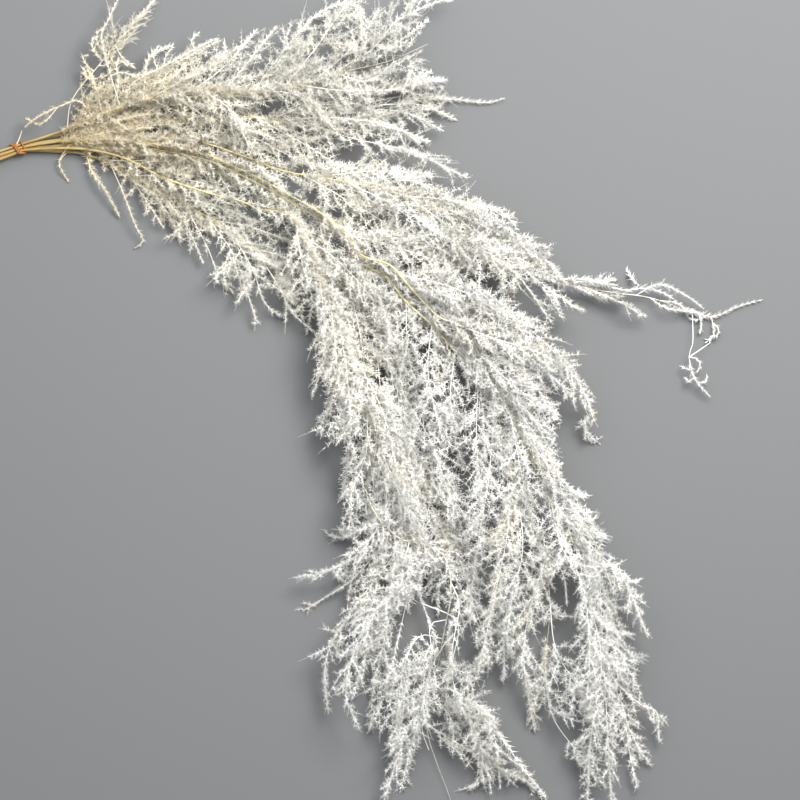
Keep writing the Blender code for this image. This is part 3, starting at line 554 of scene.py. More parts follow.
def smooth_line(points: Array, gap: float, steps: int = 12) -> Array:
    """Points about a gap apart on a smooth curve that runs through the given points.

    Args:
        points: The points that the curve runs through.
        gap: The distance between two points of the result.
        steps: How finely the curve is followed between two given points.

    Returns:
        The points of the curve, one row each.
    """
    ends = np.vstack([2 * points[0] - points[1], points, 2 * points[-1] - points[-2]])
    t = (np.arange(steps) / steps)[None, :, None]
    before, start, end, after = (ends[k:len(ends) - 3 + k][:, None] for k in range(4))
    fine = 0.5 * (2 * start + (end - before) * t + (2 * before - 5 * start + 4 * end - after) * t ** 2
                  + (3 * start - before - 3 * end + after) * t ** 3)
    fine = np.vstack([fine.reshape(-1, 3), points[-1]])
    gone = along(fine)
    count = max(2, round(gone[-1] / gap))
    return walk(fine, np.linspace(0.0, gone[-1], count + 1))


def walk(line: Array, where: Array) -> Array:
    """The places at some distances along a line.

    Args:
        line: The points of the line.
        where: Distances from its first point.

    Returns:
        One place for each distance.
    """
    gone = along(line)
    return np.stack([np.interp(where, gone, line[:, axis]) for axis in range(3)], axis=1)


def headings(line: Array, where: Array, reach: float = 0.002) -> Array:
    """The directions of a line at some distances along it, evened out over a short reach."""
    length = along(line)[-1]
    return unit(walk(line, np.minimum(where + reach, length)) - walk(line, np.maximum(where - reach, 0.0)))


def across(heading: Array, normal: Array) -> tuple[Array, Array]:
    """Two directions at right angles to each heading.

    Args:
        heading: Unit directions, one row each.
        normal: Directions that the second result comes close to.

    Returns:
        The sideways direction and the direction nearest to the normal.
    """
    side = unit(np.cross(normal, heading))
    return side, np.cross(heading, side)


def numbered(counts: Array) -> tuple[Array, Array]:
    """For so many items on each of some shoots, the shoot of each item and its number there.

    Args:
        counts: How many items each shoot bears.

    Returns:
        The shoots and the numbers, one for each item.
    """
    rows = np.repeat(np.arange(len(counts)), counts)
    return rows, np.arange(len(rows)) - np.repeat(np.cumsum(counts) - counts, counts)


def by_turns(number: Array) -> Array:
    """One side or the other in turn, as 1 or -1 for each number."""
    return np.where(number % 2 == 0, 1.0, -1.0)


def square_steps(width: int) -> Array:
    """The steps from a cell to all cells of the square round it that reaches so many cells to each side."""
    return np.array(list(itertools.product(range(-width, width + 1), repeat=2)))


def deselect() -> None:
    """Leaves edit mode and selects nothing."""
    if bpy.context.object is not None and bpy.context.object.mode != "OBJECT":
        bpy.ops.object.mode_set(mode="OBJECT")
    bpy.ops.object.select_all(action="DESELECT")


def numbers(mesh: bpy.types.Mesh) -> tuple[Array, Array]:
    """The corners of a mesh and its triangles, as arrays."""
    points = np.zeros(len(mesh.vertices) * 3)
    mesh.vertices.foreach_get("co", points)
    mesh.calc_loop_triangles()
    faces = np.zeros(len(mesh.loop_triangles) * 3, np.int64)
    mesh.loop_triangles.foreach_get("vertices", faces)
    return points.reshape(-1, 3), faces.reshape(-1, 3)


@dataclass(frozen=True)
class Finish:
    """A material with the warm and cool tones that vary over a piece.

    Attributes:
        name: The material's name.
        roughness: The shader's roughness.
    """

    name: str
    roughness: float

    def start(self) -> tuple[bpy.types.Material, bpy.types.NodeTree, bpy.types.Node]:
        """A new material with its tree and its Principled shader."""
        made = bpy.data.materials.new(self.name)
        made.use_nodes = True
        shader = made.node_tree.nodes["Principled BSDF"]
        shader.inputs["Roughness"].default_value = self.roughness
        return made, made.node_tree, shader


def ramp(tree: bpy.types.NodeTree, factor: bpy.types.NodeSocket, stops: list[tuple]) -> bpy.types.NodeSocket:
    """Colours along a factor.

    Args:
        tree: The material's tree.
        factor: The socket that picks the colour.
        stops: Places from 0 to 1, each with its colour.

    Returns:
        The colour socket.
    """
    node = tree.nodes.new("ShaderNodeValToRGB")
    node.color_ramp.elements[0].position, node.color_ramp.elements[0].color = stops[0][0], (*stops[0][1], 1.0)
    node.color_ramp.elements[1].position, node.color_ramp.elements[1].color = stops[-1][0], (*stops[-1][1], 1.0)
    for place, colour in stops[1:-1]:
        node.color_ramp.elements.new(place).color = (*colour, 1.0)
    tree.links.new(factor, node.inputs["Fac"])
    return node.outputs["Color"]


def reach_from_band(tree: bpy.types.NodeTree, farthest: float) -> bpy.types.NodeSocket:
    """The distance from the band as a share of the farthest one."""
    place = tree.nodes.new("ShaderNodeTexCoord")
    length = tree.nodes.new("ShaderNodeVectorMath")
    length.operation = "LENGTH"
    tree.links.new(place.outputs["Object"], length.inputs[0])
    share = tree.nodes.new("ShaderNodeMath")
    share.operation = "DIVIDE"
    share.use_clamp = True
    share.inputs[1].default_value = farthest
    tree.links.new(length.outputs["Value"], share.inputs[0])
    return share.outputs["Value"]


def noise(tree: bpy.types.NodeTree, scale: float, detail: float, stretch: tuple, turn: float) -> bpy.types.Node:
    """Noise on the object's own coordinates, stretched along a level direction.

    Args:
        tree: The material's tree.
        scale: The noise's scale.
        detail: The noise's detail.
        stretch: Scale along each axis after the turn.
        turn: Turn about the vertical, in radians.

    Returns:
        The noise node.
    """
    place = tree.nodes.new("ShaderNodeTexCoord")
    turned = tree.nodes.new("ShaderNodeMapping")
    turned.vector_type = "TEXTURE"
    turned.inputs["Rotation"].default_value = (0.0, 0.0, turn)
    turned.inputs["Scale"].default_value = stretch
    tree.links.new(place.outputs["Object"], turned.inputs["Vector"])
    made = tree.nodes.new("ShaderNodeTexNoise")
    made.inputs["Scale"].default_value = scale
    made.inputs["Detail"].default_value = detail
    tree.links.new(turned.outputs["Vector"], made.inputs["Vector"])
    return made


def multiplied(tree: bpy.types.NodeTree, share: float, first: bpy.types.NodeSocket,
               second: bpy.types.NodeSocket) -> bpy.types.NodeSocket:
    """A colour multiplied with another.

    Args:
        tree: The material's tree.
        share: How much of the second colour counts, from 0 to 1.
        first: The first colour.
        second: The second colour.

    Returns:
        The colour socket.
    """
    node = tree.nodes.new("ShaderNodeMix")
    node.data_type = "RGBA"
    node.blend_type = "MULTIPLY"
    sockets = [socket for socket in node.inputs if socket.type == "RGBA"]
    tree.links.new(first, sockets[0])
    tree.links.new(second, sockets[1])
    node.inputs["Factor"].default_value = share
    return next(socket for socket in node.outputs if socket.type == "RGBA")


def bump(tree: bpy.types.NodeTree, shader: bpy.types.Node, height: bpy.types.NodeSocket, depth: float,
         strength: float) -> None:
    """Gives a shader small relief from a height.

    Args:
        tree: The material's tree.
        shader: The shader that gets the relief.
        height: The height socket.
        depth: The depth of the relief in metres.
        strength: How strongly it shows, from 0 to 1.
    """
    node = tree.nodes.new("ShaderNodeBump")
    node.inputs["Distance"].default_value = depth
    node.inputs["Strength"].default_value = strength
    tree.links.new(height, node.inputs["Height"])
    tree.links.new(node.outputs["Normal"], shader.inputs["Normal"])


@dataclass(frozen=True)
class LeafFinish(Finish):
    """Bleached needles: beige near the band, whiter further out, each with a tone of its own.

    Attributes:
        near_band: Colour of the leaves near the band.
        middle: Their colour half-way.
        far: Their colour at the tips.
        shaded: What the darkest shoots are multiplied with.
        stations: Where those three colours lie, as shares of the way from the band.
        unshaded_from: Lightness from which shoots aren't darkened.
        shading: How much the others are.
        sheen: Strength of the soft edge light.
        farthest: Distance from the band of the end of the way.
    """

    near_band: tuple = (0.83, 0.72, 0.48)
    middle: tuple = (0.95, 0.92, 0.82)
    far: tuple = (0.95, 0.94, 0.90)
    shaded: tuple = (0.88, 0.78, 0.60)
    stations: tuple[float, float, float] = (0.06, 0.34, 0.75)
    unshaded_from: float = 0.55
    shading: float = 0.75
    sheen: float = 0.3
    farthest: float = 0.60

    def build(self) -> bpy.types.Material:
        """The material."""
        made, tree, shader = self.start()
        tone = ramp(tree, reach_from_band(tree, self.farthest),
                    list(zip(self.stations, (self.near_band, self.middle, self.far))))
        tint = tree.nodes.new("ShaderNodeAttribute")
        tint.attribute_name = "tint"
        depth = ramp(tree, tint.outputs["Fac"], [(0.0, self.shaded), (self.unshaded_from, WHITE)])
        shader.inputs["Sheen Weight"].default_value = self.sheen
        tree.links.new(multiplied(tree, self.shading, tone, depth), shader.inputs["Base Color"])
        return made


@dataclass(frozen=True)
class StemFinish(Finish):
    """Dried stems: tan at the cut ends, dark olive brown just past the band, straw yellow further on, cream towards
    the tips, with fine streaks. The dark olive brown is partly the stems' own colour and partly painted shade of the
    crowded stems there.

    Attributes:
        stops: Colours along the way from the band. The dark ones just past it are partly painted shade of the
            crowded stems.
        farthest: Distance from the band of its end.
        streak: What the darkest streaks are multiplied with.
        streak_range: Where streaks start and end.
        streak_share: How much they darken.
        streak_scale: How fine they are.
        streak_detail: How rough their edges are.
        streak_stretch: How drawn out they are along the stems.
        relief: Height and strength of the bumps.
    """

    # The dark stops at 0.045 and 0.16 are the stems' own olive brown, deepened with painted shade where the stems
    # crowd near the band.
    stops: tuple = ((0.0, (0.46, 0.29, 0.09)), (0.045, (0.40, 0.30, 0.12)), (0.16, (0.42, 0.34, 0.15)),
                    (0.24, (0.70, 0.62, 0.30)), (0.38, (0.62, 0.56, 0.28)), (0.50, (0.72, 0.65, 0.32)),
                    (0.75, (0.76, 0.75, 0.56)), (1.0, (0.72, 0.71, 0.62)))
    farthest: float = 0.66
    streak: tuple = (0.58, 0.46, 0.32)
    streak_range: tuple[float, float] = (0.32, 0.58)
    streak_share: float = 0.8
    streak_scale: float = 260.0
    streak_detail: float = 4.0
    streak_stretch: tuple = (9.0, 1.0, 1.0)
    relief: tuple[float, float] = (0.0004, 0.6)

    def build(self) -> bpy.types.Material:
        """The material."""
        made, tree, shader = self.start()
        tone = ramp(tree, reach_from_band(tree, self.farthest), list(self.stops))
        streaks = noise(tree, self.streak_scale, self.streak_detail, self.streak_stretch, Bundle.axis_angle)
        light = ramp(tree, streaks.outputs["Fac"], list(zip(self.streak_range, (self.streak, WHITE))))
        tree.links.new(multiplied(tree, self.streak_share, tone, light), shader.inputs["Base Color"])
        bump(tree, shader, streaks.outputs["Fac"], *self.relief)
        return made


@dataclass(frozen=True)
class RubberFinish(Finish):
    """Worn orange-brown rubber.

    Attributes:
        clean: Colour of the clean rubber.
        worn: Colour of the worn rubber.
        wear_range: Where wear ends and starts.
        wear_scale: How fine it is.
        wear_detail: How rough its edges are.
        relief: Height and strength of the bumps.
    """

    clean: tuple = (0.42, 0.16, 0.012)
    worn: tuple = (0.24, 0.065, 0.006)
    wear_range: tuple[float, float] = (0.35, 0.65)
    wear_scale: float = 900.0
    wear_detail: float = 3.0
    relief: tuple[float, float] = (0.0002, 0.4)

    def build(self) -> bpy.types.Material:
        """The material."""
        made, tree, shader = self.start()
        wear = noise(tree, self.wear_scale, self.wear_detail, (1.0, 1.0, 1.0), 0.0)
        tone = ramp(tree, wear.outputs["Fac"], list(zip(self.wear_range, (self.worn, self.clean))))
        tree.links.new(tone, shader.inputs["Base Color"])
        bump(tree, shader, wear.outputs["Fac"], *self.relief)
        return made


@dataclass(frozen=True)
class FloorFinish(Finish):
    """A plain pale floor.

    Attributes:
        colour: Colour of the floor.
    """

    colour: tuple = (0.158, 0.161, 0.164)

    def build(self) -> bpy.types.Material:
        """The material."""
        made, _, shader = self.start()
        shader.inputs["Base Color"].default_value = (*self.colour, 1.0)
        return made


@dataclass
class Bundle:
    """Sizes of the tied bundle that the solids and the pieces share.

    Attributes:
        axis_angle: Direction of the bundle at the band, seen from above.
        cut_radius: Radius of a stem at its cut end.
        pitch: Distance between neighbouring stems in the band.
        layer_angle: How steeply a stem lies over its neighbours in the layer below.
        cut_length: Distance from the middle of the band to the cut ends.
        cut_variety: Least and most of that distance, as shares.
        cut_spread: How much further apart the cut ends are than the stems in the band, as a share.
        band_turns: Number of turns of the band in the solids.
        band_turn_width: Width of one turn.
        band_thickness: Thickness of the band in the solids.
        band_fit: Gap between it and the stems.
        seats: Each stem's place in the band: its step to the side, and its layer.
    """

    axis_angle: float = math.radians(19.0)
    cut_radius: float = 0.00132
    pitch: float = 0.0031
    layer_angle: float = math.radians(60.0)
    cut_length: float = 0.050
    cut_variety: tuple[float, float] = (0.85, 1.1)
    cut_spread: float = 0.35
    band_turns: int = 3
    band_turn_width: float = 0.0019
    band_thickness: float = 0.0014
    band_fit: float = 0.0004
    seats: dict[str, tuple[float, int]] = field(default_factory=lambda: {
        "spray_lower_left": (-1.0, 0),
        "spray_centre": (0.0, 0),
        "spray_upper_under": (1.0, 0),
        "spray_main": (-0.5, 1),
        "spray_trailing": (0.5, 1),
        "spray_left_column": (-1.0, 2),
        "spray_right_column": (0.0, 2),
        "spray_upper": (1.0, 2),
    })

    @property
    def rise(self) -> float:
        """The height of one layer of stems over the next."""
        return self.pitch * math.sin(self.layer_angle)

    @property
    def axis(self) -> Array:
        """The level direction of the bundle at the band."""
        return np.array((math.cos(self.axis_angle), math.sin(self.axis_angle), 0.0))

    @property
    def side(self) -> Array:
        """The level direction across the bundle."""
        return np.cross(UP, self.axis)

    @property
    def middle(self) -> Array:
        """The middle of the band."""
        return UP * (self.rise + self.cut_radius + self.band_fit + self.band_thickness)

    def seat(self, name: str) -> Array:
        """The place of a spray's stem in the middle of the band."""
        step, layer = self.seats[name]
        lowest = self.band_thickness + self.band_fit + self.cut_radius
        return step * self.pitch * self.side + UP * (lowest + layer * self.rise)

    def stem_route(self, name: str, draw: random.Random) -> tuple[Array, Array]:
        """The centre line of a stem.

        Args:
            name: The spray's name.
            draw: The seeded source of the cut end's length.

        Returns:
            The straight points from the cut end into the band, and those from the band to the tip.
        """
        middle = self.seat(name)
        reach = self.cut_length * draw.uniform(*self.cut_variety)
        cut = middle - reach * self.axis + self.cut_spread * np.array((middle[0], middle[1], 0.0))
        half = self.band_turns * self.band_turn_width * self.axis
        rest = np.array([middle + half] + [from_plan(point) for point in STEMS[name]])
        return np.array([cut, middle - half]), rest


@dataclass
class PlumeRoute:
    """The centre line of one plume, and how it is leaved.

    Attributes:
        line: The points of its centre line.
        habit: How it is leaved.
    """

    line: Array
    habit: Habit


@dataclass
class SprayRoute:
    """The centre lines of one spray: its stem and its plumes, at the heights that its solid has.

    Attributes:
        name: The spray's name, which is its solid's.
        stem: The stem's centre line from its cut end.
        plumes: The plumes' centre lines from their roots.
    """

    name: str
    stem: Array
    plumes: list[PlumeRoute]


def stretch_of(route: SprayRoute, first: int, last: int) -> Array:
    """A stretch of a spray's stem between two points of its line above.

    Args:
        route: The spray's centre lines.
        first: Number of the point at which the stretch starts.
        last: Number of the point at which it ends.

    Returns:
        The points of the stretch.
    """
    gone = along(route.stem)
    ends = [np.linalg.norm(route.stem - from_plan(STEMS[route.name][index]), axis=1).argmin()
            for index in (first, last)]
    return walk(route.stem, np.linspace(gone[ends[0]], gone[ends[1]], STRETCH_POINTS))


@dataclass
class RouteReader:
    """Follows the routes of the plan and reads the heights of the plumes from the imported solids.

    The solids bend and arch each plume by one of a few amounts, to keep it clear of the others. The amounts
    that fit a plume are those whose line runs closest to the solid's corners.

    Attributes:
        bundle: The tied bundle.
        seed: Seed of the cut ends' lengths.
        stem_gap: Distance between the points of a stem in the solids.
        plume_gap: The same for a plume.
        knot_gap: Least distance between the roots of two plumes.
        fine_gap: Distance between the points of a stem here.
        plume_fine_gap: The same for a plume.
        plume_radius: Least height of a plume's centre line.
        arches: Heights of the arch that a solid's plume may have, as shares of its length.
        falls: Height of the plumes' tips as a share of their roots', for one plume after the other.
        bends: Heights by which a solid's plume may be bent at its tip.
        extra_arch: Height of the arch of the lines that the solids leave out, as a share of their length.
        root_choices: Number of places on a stem that are looked at for the roots of its plumes.
    """

    bundle: Bundle
    seed: int = 11
    stem_gap: float = 0.040
    plume_gap: float = 0.045
    knot_gap: float = 0.006
    fine_gap: float = 0.0045
    plume_fine_gap: float = 0.0060
    plume_radius: float = 0.0008
    arches: tuple[float, ...] = (0.10, 0.05, 0.15)
    falls: tuple[float, ...] = (0.0, 0.75, 0.35, 1.15, 0.1, 0.9)
    bends: tuple[float, ...] = tuple(0.003 * step for step in range(-10, 11))
    extra_arch: float = 0.03
    root_choices: int = 400

    def read(self, nodes: dict[str, bpy.types.Object]) -> list[SprayRoute]:
        """The routes of all sprays.

        Args:
            nodes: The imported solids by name.

        Returns:
            One route for each spray.
        """
        draw = random.Random(self.seed)
        lines = {name: self.bundle.stem_route(name, draw) for name in STEMS}
        return [self.spray(name, *lines[name], nodes[name]) for name in STEMS]

    def spray(self, name: str, cut: Array, rest: Array, node: bpy.types.Object) -> SprayRoute:
        """The route of one spray.

        Args:
            name: The spray's name.
            cut: The stem's points from its cut end into the band.
            rest: The stem's points from the band to its tip.
            node: The spray's solid.

        Returns:
            The route.
        """
        coarse = np.vstack([cut, smooth_line(rest, self.stem_gap)])
        stem = np.vstack([cut[0], smooth_line(np.vstack([cut[1:], rest]), self.fine_gap)])
        corners = KDTree(len(node.data.vertices))
        for number, vertex in enumerate(node.data.vertices):
            corners.insert(vertex.co, number)
        corners.balance()
        habits = HABITS.get(name, {})
        plumes = []
        for number, (share, points) in enumerate(zip(self.root_shares(name, coarse), PLUMES[name])):
            root = walk(coarse, np.array([share * along(coarse)[-1]]))[0]
            fall = self.falls[number % len(self.falls)]
            places = self.best_places(points, root, fall, corners)
            places[0] = stem[np.linalg.norm(stem - root, axis=1).argmin()]
            line = smooth_line(places, self.plume_fine_gap)
            plumes.append(PlumeRoute(line, habits.get(number, Habit.FULL)))
        for habit, fall, points in EXTRAS.get(name, []):
            lines = np.vstack([stem, *(plume.line for plume in plumes)])
            root = lines[np.linalg.norm(lines[:, :2] - from_plan(points[0])[:2], axis=1).argmin()]
            places = self.places([points[0], *points], root, fall, self.extra_arch, 0.0)[1:]
            places[0] = root
            plumes.append(PlumeRoute(smooth_line(places, self.plume_fine_gap), habit))
        return SprayRoute(name, stem, plumes)

    def root_shares(self, name: str, line: Array) -> list[float]:
        """The shares of a stem's line from which its plumes grow, each nearest to its route and none too close."""
        fine = np.linspace(0.0, 1.0, self.root_choices)
        length = along(line)[-1]
        places = walk(line, fine * length)[:, :2]
        starts = [from_plan(points[0])[:2] for points in PLUMES[name]]
        shares = [float(fine[np.linalg.norm(places - start, axis=1).argmin()]) for start in starts]
        order = sorted(range(len(shares)), key=lambda index: shares[index])
        for before, index in zip(order, order[1:]):
            shares[index] = max(shares[index], shares[before] + self.knot_gap / length)
        return shares

    def places(self, points: list[tuple], root: Array, fall: float, arch: float, bend: float) -> Array:
        """The points that a plume runs through.

        Args:
            points: The plume's points on the plan.
            root: The middle of the stem where the plume starts.
            fall: Height of the tip as a share of the root's.
            arch: Height of the arch as a share of the plume's length.
            bend: Height by which the tip is bent.

        Returns:
            The points, one row each.
        """
        places = np.array([root] + [from_plan(point) for point in points[1:]])
        gone = along(places * (1.0, 1.0, 0.0))
        t = gone / gone[-1]
        places[:, 2] = root[2] + (fall - 1.0) * root[2] * t * t + 4 * arch * gone[-1] * t * (1 - t) + bend * t
        return places

    def best_places(self, points: list[tuple], root: Array, fall: float, corners: KDTree) -> Array:
        """The points of a plume, with the bend and arch that come closest to the corners of its solid."""
        best, least = None, math.inf
        for bend, arch in itertools.product(self.bends, self.arches):
            places = self.places(points, root, fall, arch, bend)
            line = smooth_line(places, self.plume_gap)
            line[:-1, 2] = np.maximum(line[:-1, 2], self.plume_radius)
            line[-1, 2] = max(line[-1, 2], 0.0)
            apart = sum(corners.find(place)[2] for place in line[1:]) / len(line)
            if apart < least:
                best, least = places, apart
        best[:-1, 2] = np.maximum(best[:-1, 2], self.plume_radius)
        best[-1, 2] = max(best[-1, 2], 0.0)
        return best


@dataclass
class Lay:
    """Where leaves may lie: above the surface, under the solids' top, and under the stems that lie on top.

    It also keeps them out of the clearings.

    Attributes:
        low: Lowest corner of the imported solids.
        high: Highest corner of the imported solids.
        cell: Side of a cell of the plan.
        part_reach: How far from a stem that lies on top the leaves are pressed down.
        slim_reach: The same for a stem that shows as a thin line only.
        part_rise: How high above the stem they come at that reach.
        over_stem: How far above that height needles may start.
        under_stem: How far below the stem's centre line that strip starts.
        over_ceiling: Most that leaves may come above that height.
        ceiling_zone: How far above it they would have to reach for nearly all of that.
        floor_zone: Height below which leaves are pressed up, so that they stay above the surface.
        top_zone: Distance below the solids' top from which leaves are pressed down.
        side_room: How far leaves may reach past the solids to each side.
        thin_edge: Where the thin leaves end, as shares of a thin part's half sides.
        patch: Side of a cell of the canopy.
        spread: How far the canopy reaches round a plume.
        ceiling: The height over each cell below which leaves stay.
        canopy: The height of the canopy over each of its cells.
    """

    low: Vector
    high: Vector
    cell: float = 0.0007
    part_reach: float = 0.0031
    slim_reach: float = 0.0017
    part_rise: float = 0.010
    over_stem: float = 0.0006
    under_stem: float = 0.0006
    over_ceiling: float = 0.0012
    ceiling_zone: float = 0.012
    floor_zone: float = 0.003
    top_zone: float = 0.006
    side_room: float = 0.012
    thin_edge: tuple[float, float] = (0.8, 1.15)
    patch: float = 0.003
    spread: float = 0.012
    ceiling: Array | None = None
    canopy: Array | None = None

    def empty(self, side: float, height: float) -> Array:
        """A table over the plan, with cells of the given side that all hold the given height."""
        count = np.ceil((np.array(self.high.xy) - np.array(self.low.xy)) / side).astype(int) + 1
        return np.full(tuple(count), height)

    def cells(self, places: Array, side: float) -> Array:
        """The cell of the plan in which each place lies, also past its sides."""
        return ((places[:, :2] - np.array(self.low.xy)) / side).round().astype(int)

    def found(self, table: Array, places: Array, side: float) -> Array:
        """What a table over the plan holds at each place.

        Args:
            table: The table.
            places: Places, one row each.
            side: Side of the table's cells.

        Returns:
            One height for each place.
        """
        cells = np.clip(self.cells(places, side), 0, np.array(table.shape) - 1)
        return table[cells[:, 0], cells[:, 1]]

    def round_line(self, table: Array, line: Array, steps: Array, side: float) -> tuple[Array, Array]:
        """The cells of a table over the plan that lie round a line.

        Args:
            table: The table.
            line: The points of the line.
            steps: The steps from each point's cell.
            side: Side of the table's cells.

        Returns:
            The rows and the columns of the cells, for each point and step.
        """
        cells = self.cells(line, side)[:, None] + steps[None]
        cells = np.clip(cells, 0, np.array(table.shape) - 1).reshape(-1, 2)
        return cells[:, 0], cells[:, 1]

    def press_under(self, lines: list[Array], reach: float) -> None:
        """Marks the heights below which leaves stay near the given lines.

        Args:
            lines: Stretches of stems that lie on top.
            reach: How far to each side of them.
        """
        if self.ceiling is None:
            self.ceiling = self.empty(self.cell, np.inf)
        steps = square_steps(int(reach / self.cell))
        apart = np.linalg.norm(steps, axis=1) * self.cell
        near = apart <= reach
        steps, rise = steps[near], self.part_rise * (apart[near] / reach) ** 2
        for line in lines:
            fine = walk(line, np.arange(0.0, along(line)[-1], self.cell))
            heights = (fine[:, None, 2] - self.under_stem + rise[None]).ravel()
            np.minimum.at(self.ceiling, self.round_line(self.ceiling, fine, steps, self.cell), heights)

    def thinned(self, places: Array) -> Array:
        """How thin the leaves are at each place, from 0 to 1."""
        thin = np.zeros(len(places))
        for part in THIN_PARTS:
            apart = np.linalg.norm(from_middle(part, places), axis=1)
            thin = np.maximum(thin, np.interp(apart, self.thin_edge, (1.0, 0.0)))
        return thin

    def roof(self, lines: list[Array]) -> None:
        """Marks the height of the canopy over the plan.

        Args:
            lines: The centre lines of all plumes.
        """
        self.canopy = self.empty(self.patch, 0.0)
        width = int(self.spread / self.patch)
        steps = square_steps(width)
        steps = steps[np.linalg.norm(steps, axis=1) <= width]
        for line in lines:
            cells = self.round_line(self.canopy, line, steps, self.patch)
            np.maximum.at(self.canopy, cells, np.repeat(line[:, 2], len(steps)))

    def depth(self, places: Array) -> Array:
        """How far each place lies below the canopy, or below the stems that press on it."""
        top = np.minimum(self.found(self.canopy, places, self.patch), self.found(self.ceiling, places, self.cell))
        return top - places[:, 2]

    def under_stems(self, places: Array) -> Array:
        """Whether each place stays below the stems that lie on top near it."""
        return places[:, 2] < self.found(self.ceiling, places, self.cell) + self.over_stem

    def clear(self, places: Array) -> Array:
        """Whether each place lies outside all clearings.

        Args:
            places: Places, one row each.

        Returns:
            One truth value for each place.
        """
        outside = np.ones(len(places), bool)
        for part in CLEARINGS:
            outside &= (from_middle(part, places) ** 2).sum(1) > 1.0
        return outside

    def settle(self, points: Array) -> Array:
        """The points, pressed softly under what lies on top, under the solids' top and above the surface.

        Args:
            points: Places, one row each.

        Returns:
            The settled places.
        """
        points = points.copy()
        height = points[:, 2]
        ceiling = self.found(self.ceiling, points, self.cell)
        over = np.maximum(height - ceiling, 0.0)
        pressed = np.minimum(height, ceiling) + self.over_ceiling * np.tanh(over / self.ceiling_zone)
        height = np.where(over > 0, pressed, height)
        top = self.high.z - self.top_zone
        over = np.maximum(height - top, 0.0)
        height = np.minimum(height, top) + self.top_zone * np.tanh(over / self.top_zone)
        low = height < self.floor_zone
        sunk = self.floor_zone * np.exp(np.minimum(height - self.floor_zone, 0.0) / self.floor_zone)
        points[:, 2] = np.where(low, sunk, height)
        for axis in (0, 1):
            least, most = self.low[axis] - self.side_room, self.high[axis] + self.side_room
            points[:, axis] = np.clip(points[:, axis], least, most)
        return points


@dataclass
class Shoots:
    """A crowd of slim shoots, each a short curve. Every field has one row for each shoot.

    Attributes:
        root: Where each one starts.
        heading: Its direction there, at length one.
        curl: How its direction changes over its length.
        length: Its length.
        normal: The direction that its flat side faces.
        tint: How light it is, from 0 to 1.
        outer: How far out its root sits, from 0 in the thick of the leaves.
    """

    root: Array
    heading: Array
    curl: Array
    length: Array
    normal: Array
    tint: Array
    outer: Array

    def __len__(self) -> int:
        """How many there are."""
        return len(self.length)

    def at(self, rows: Array, share: Array) -> tuple[Array, Array]:
        """Places and directions on some shoots.

        Args:
            rows: Which shoots.
            share: How far along each of them.

        Returns:
            The places and the directions.
        """
        share = share[:, None]
        heading, curl = self.heading[rows], self.curl[rows]
        places = self.root[rows] + self.length[rows][:, None] * (share * heading + 0.5 * share ** 2 * curl)
        return places, unit(heading + share * curl)

    def kept_clear(self, lay: Lay, short: float = 0.45, halfway: float = 0.55) -> "Shoots":
        """These shoots, shortened where they reach into a clearing, and without those that start in one.

        Args:
            lay: Where leaves may lie.
            short: The shortened length as a share.
            halfway: The share at which a shoot is looked at, besides its tip.

        Returns:
            The shoots that are left.
        """
        every = np.arange(len(self))
        middles, _ = self.at(every, np.full(len(self), halfway))
        tips, _ = self.at(every, np.ones(len(self)))
        reaches = ~(lay.clear(tips) & lay.clear(middles))
        length = np.where(reaches, self.length * short, self.length)
        return replace(self, length=length).only(lay.clear(self.root))

    def only(self, chosen: Array) -> "Shoots":
        """Those of these shoots for which the given truth value holds."""
        return Shoots(*(getattr(self, part.name)[chosen] for part in fields(self)))

    def joined(self, other: "Shoots") -> "Shoots":
        """These shoots and some others."""
        return Shoots(*(np.concatenate([getattr(self, part.name), getattr(other, part.name)])
                        for part in fields(self)))


@dataclass
class Bearers:
    """Places on plumes or fronds from which shoots grow. Every field has one row for each place.

    Attributes:
        place: Where shoots start, one row each.
        heading: Which way the line runs there.
        normal: Which way its flat side faces there.
        share: How far along the line that is, as a share.
        side: The side on which a shoot grows, as 1 or -1.
        reach: Length of the longest shoot there.
        tint: How light the shoots are.
        outer: How far out in the spray they count as sitting.
    """

    place: Array
    heading: Array
    normal: Array
    share: Array
    side: Array
    reach: Array
    tint: Array
    outer: Array


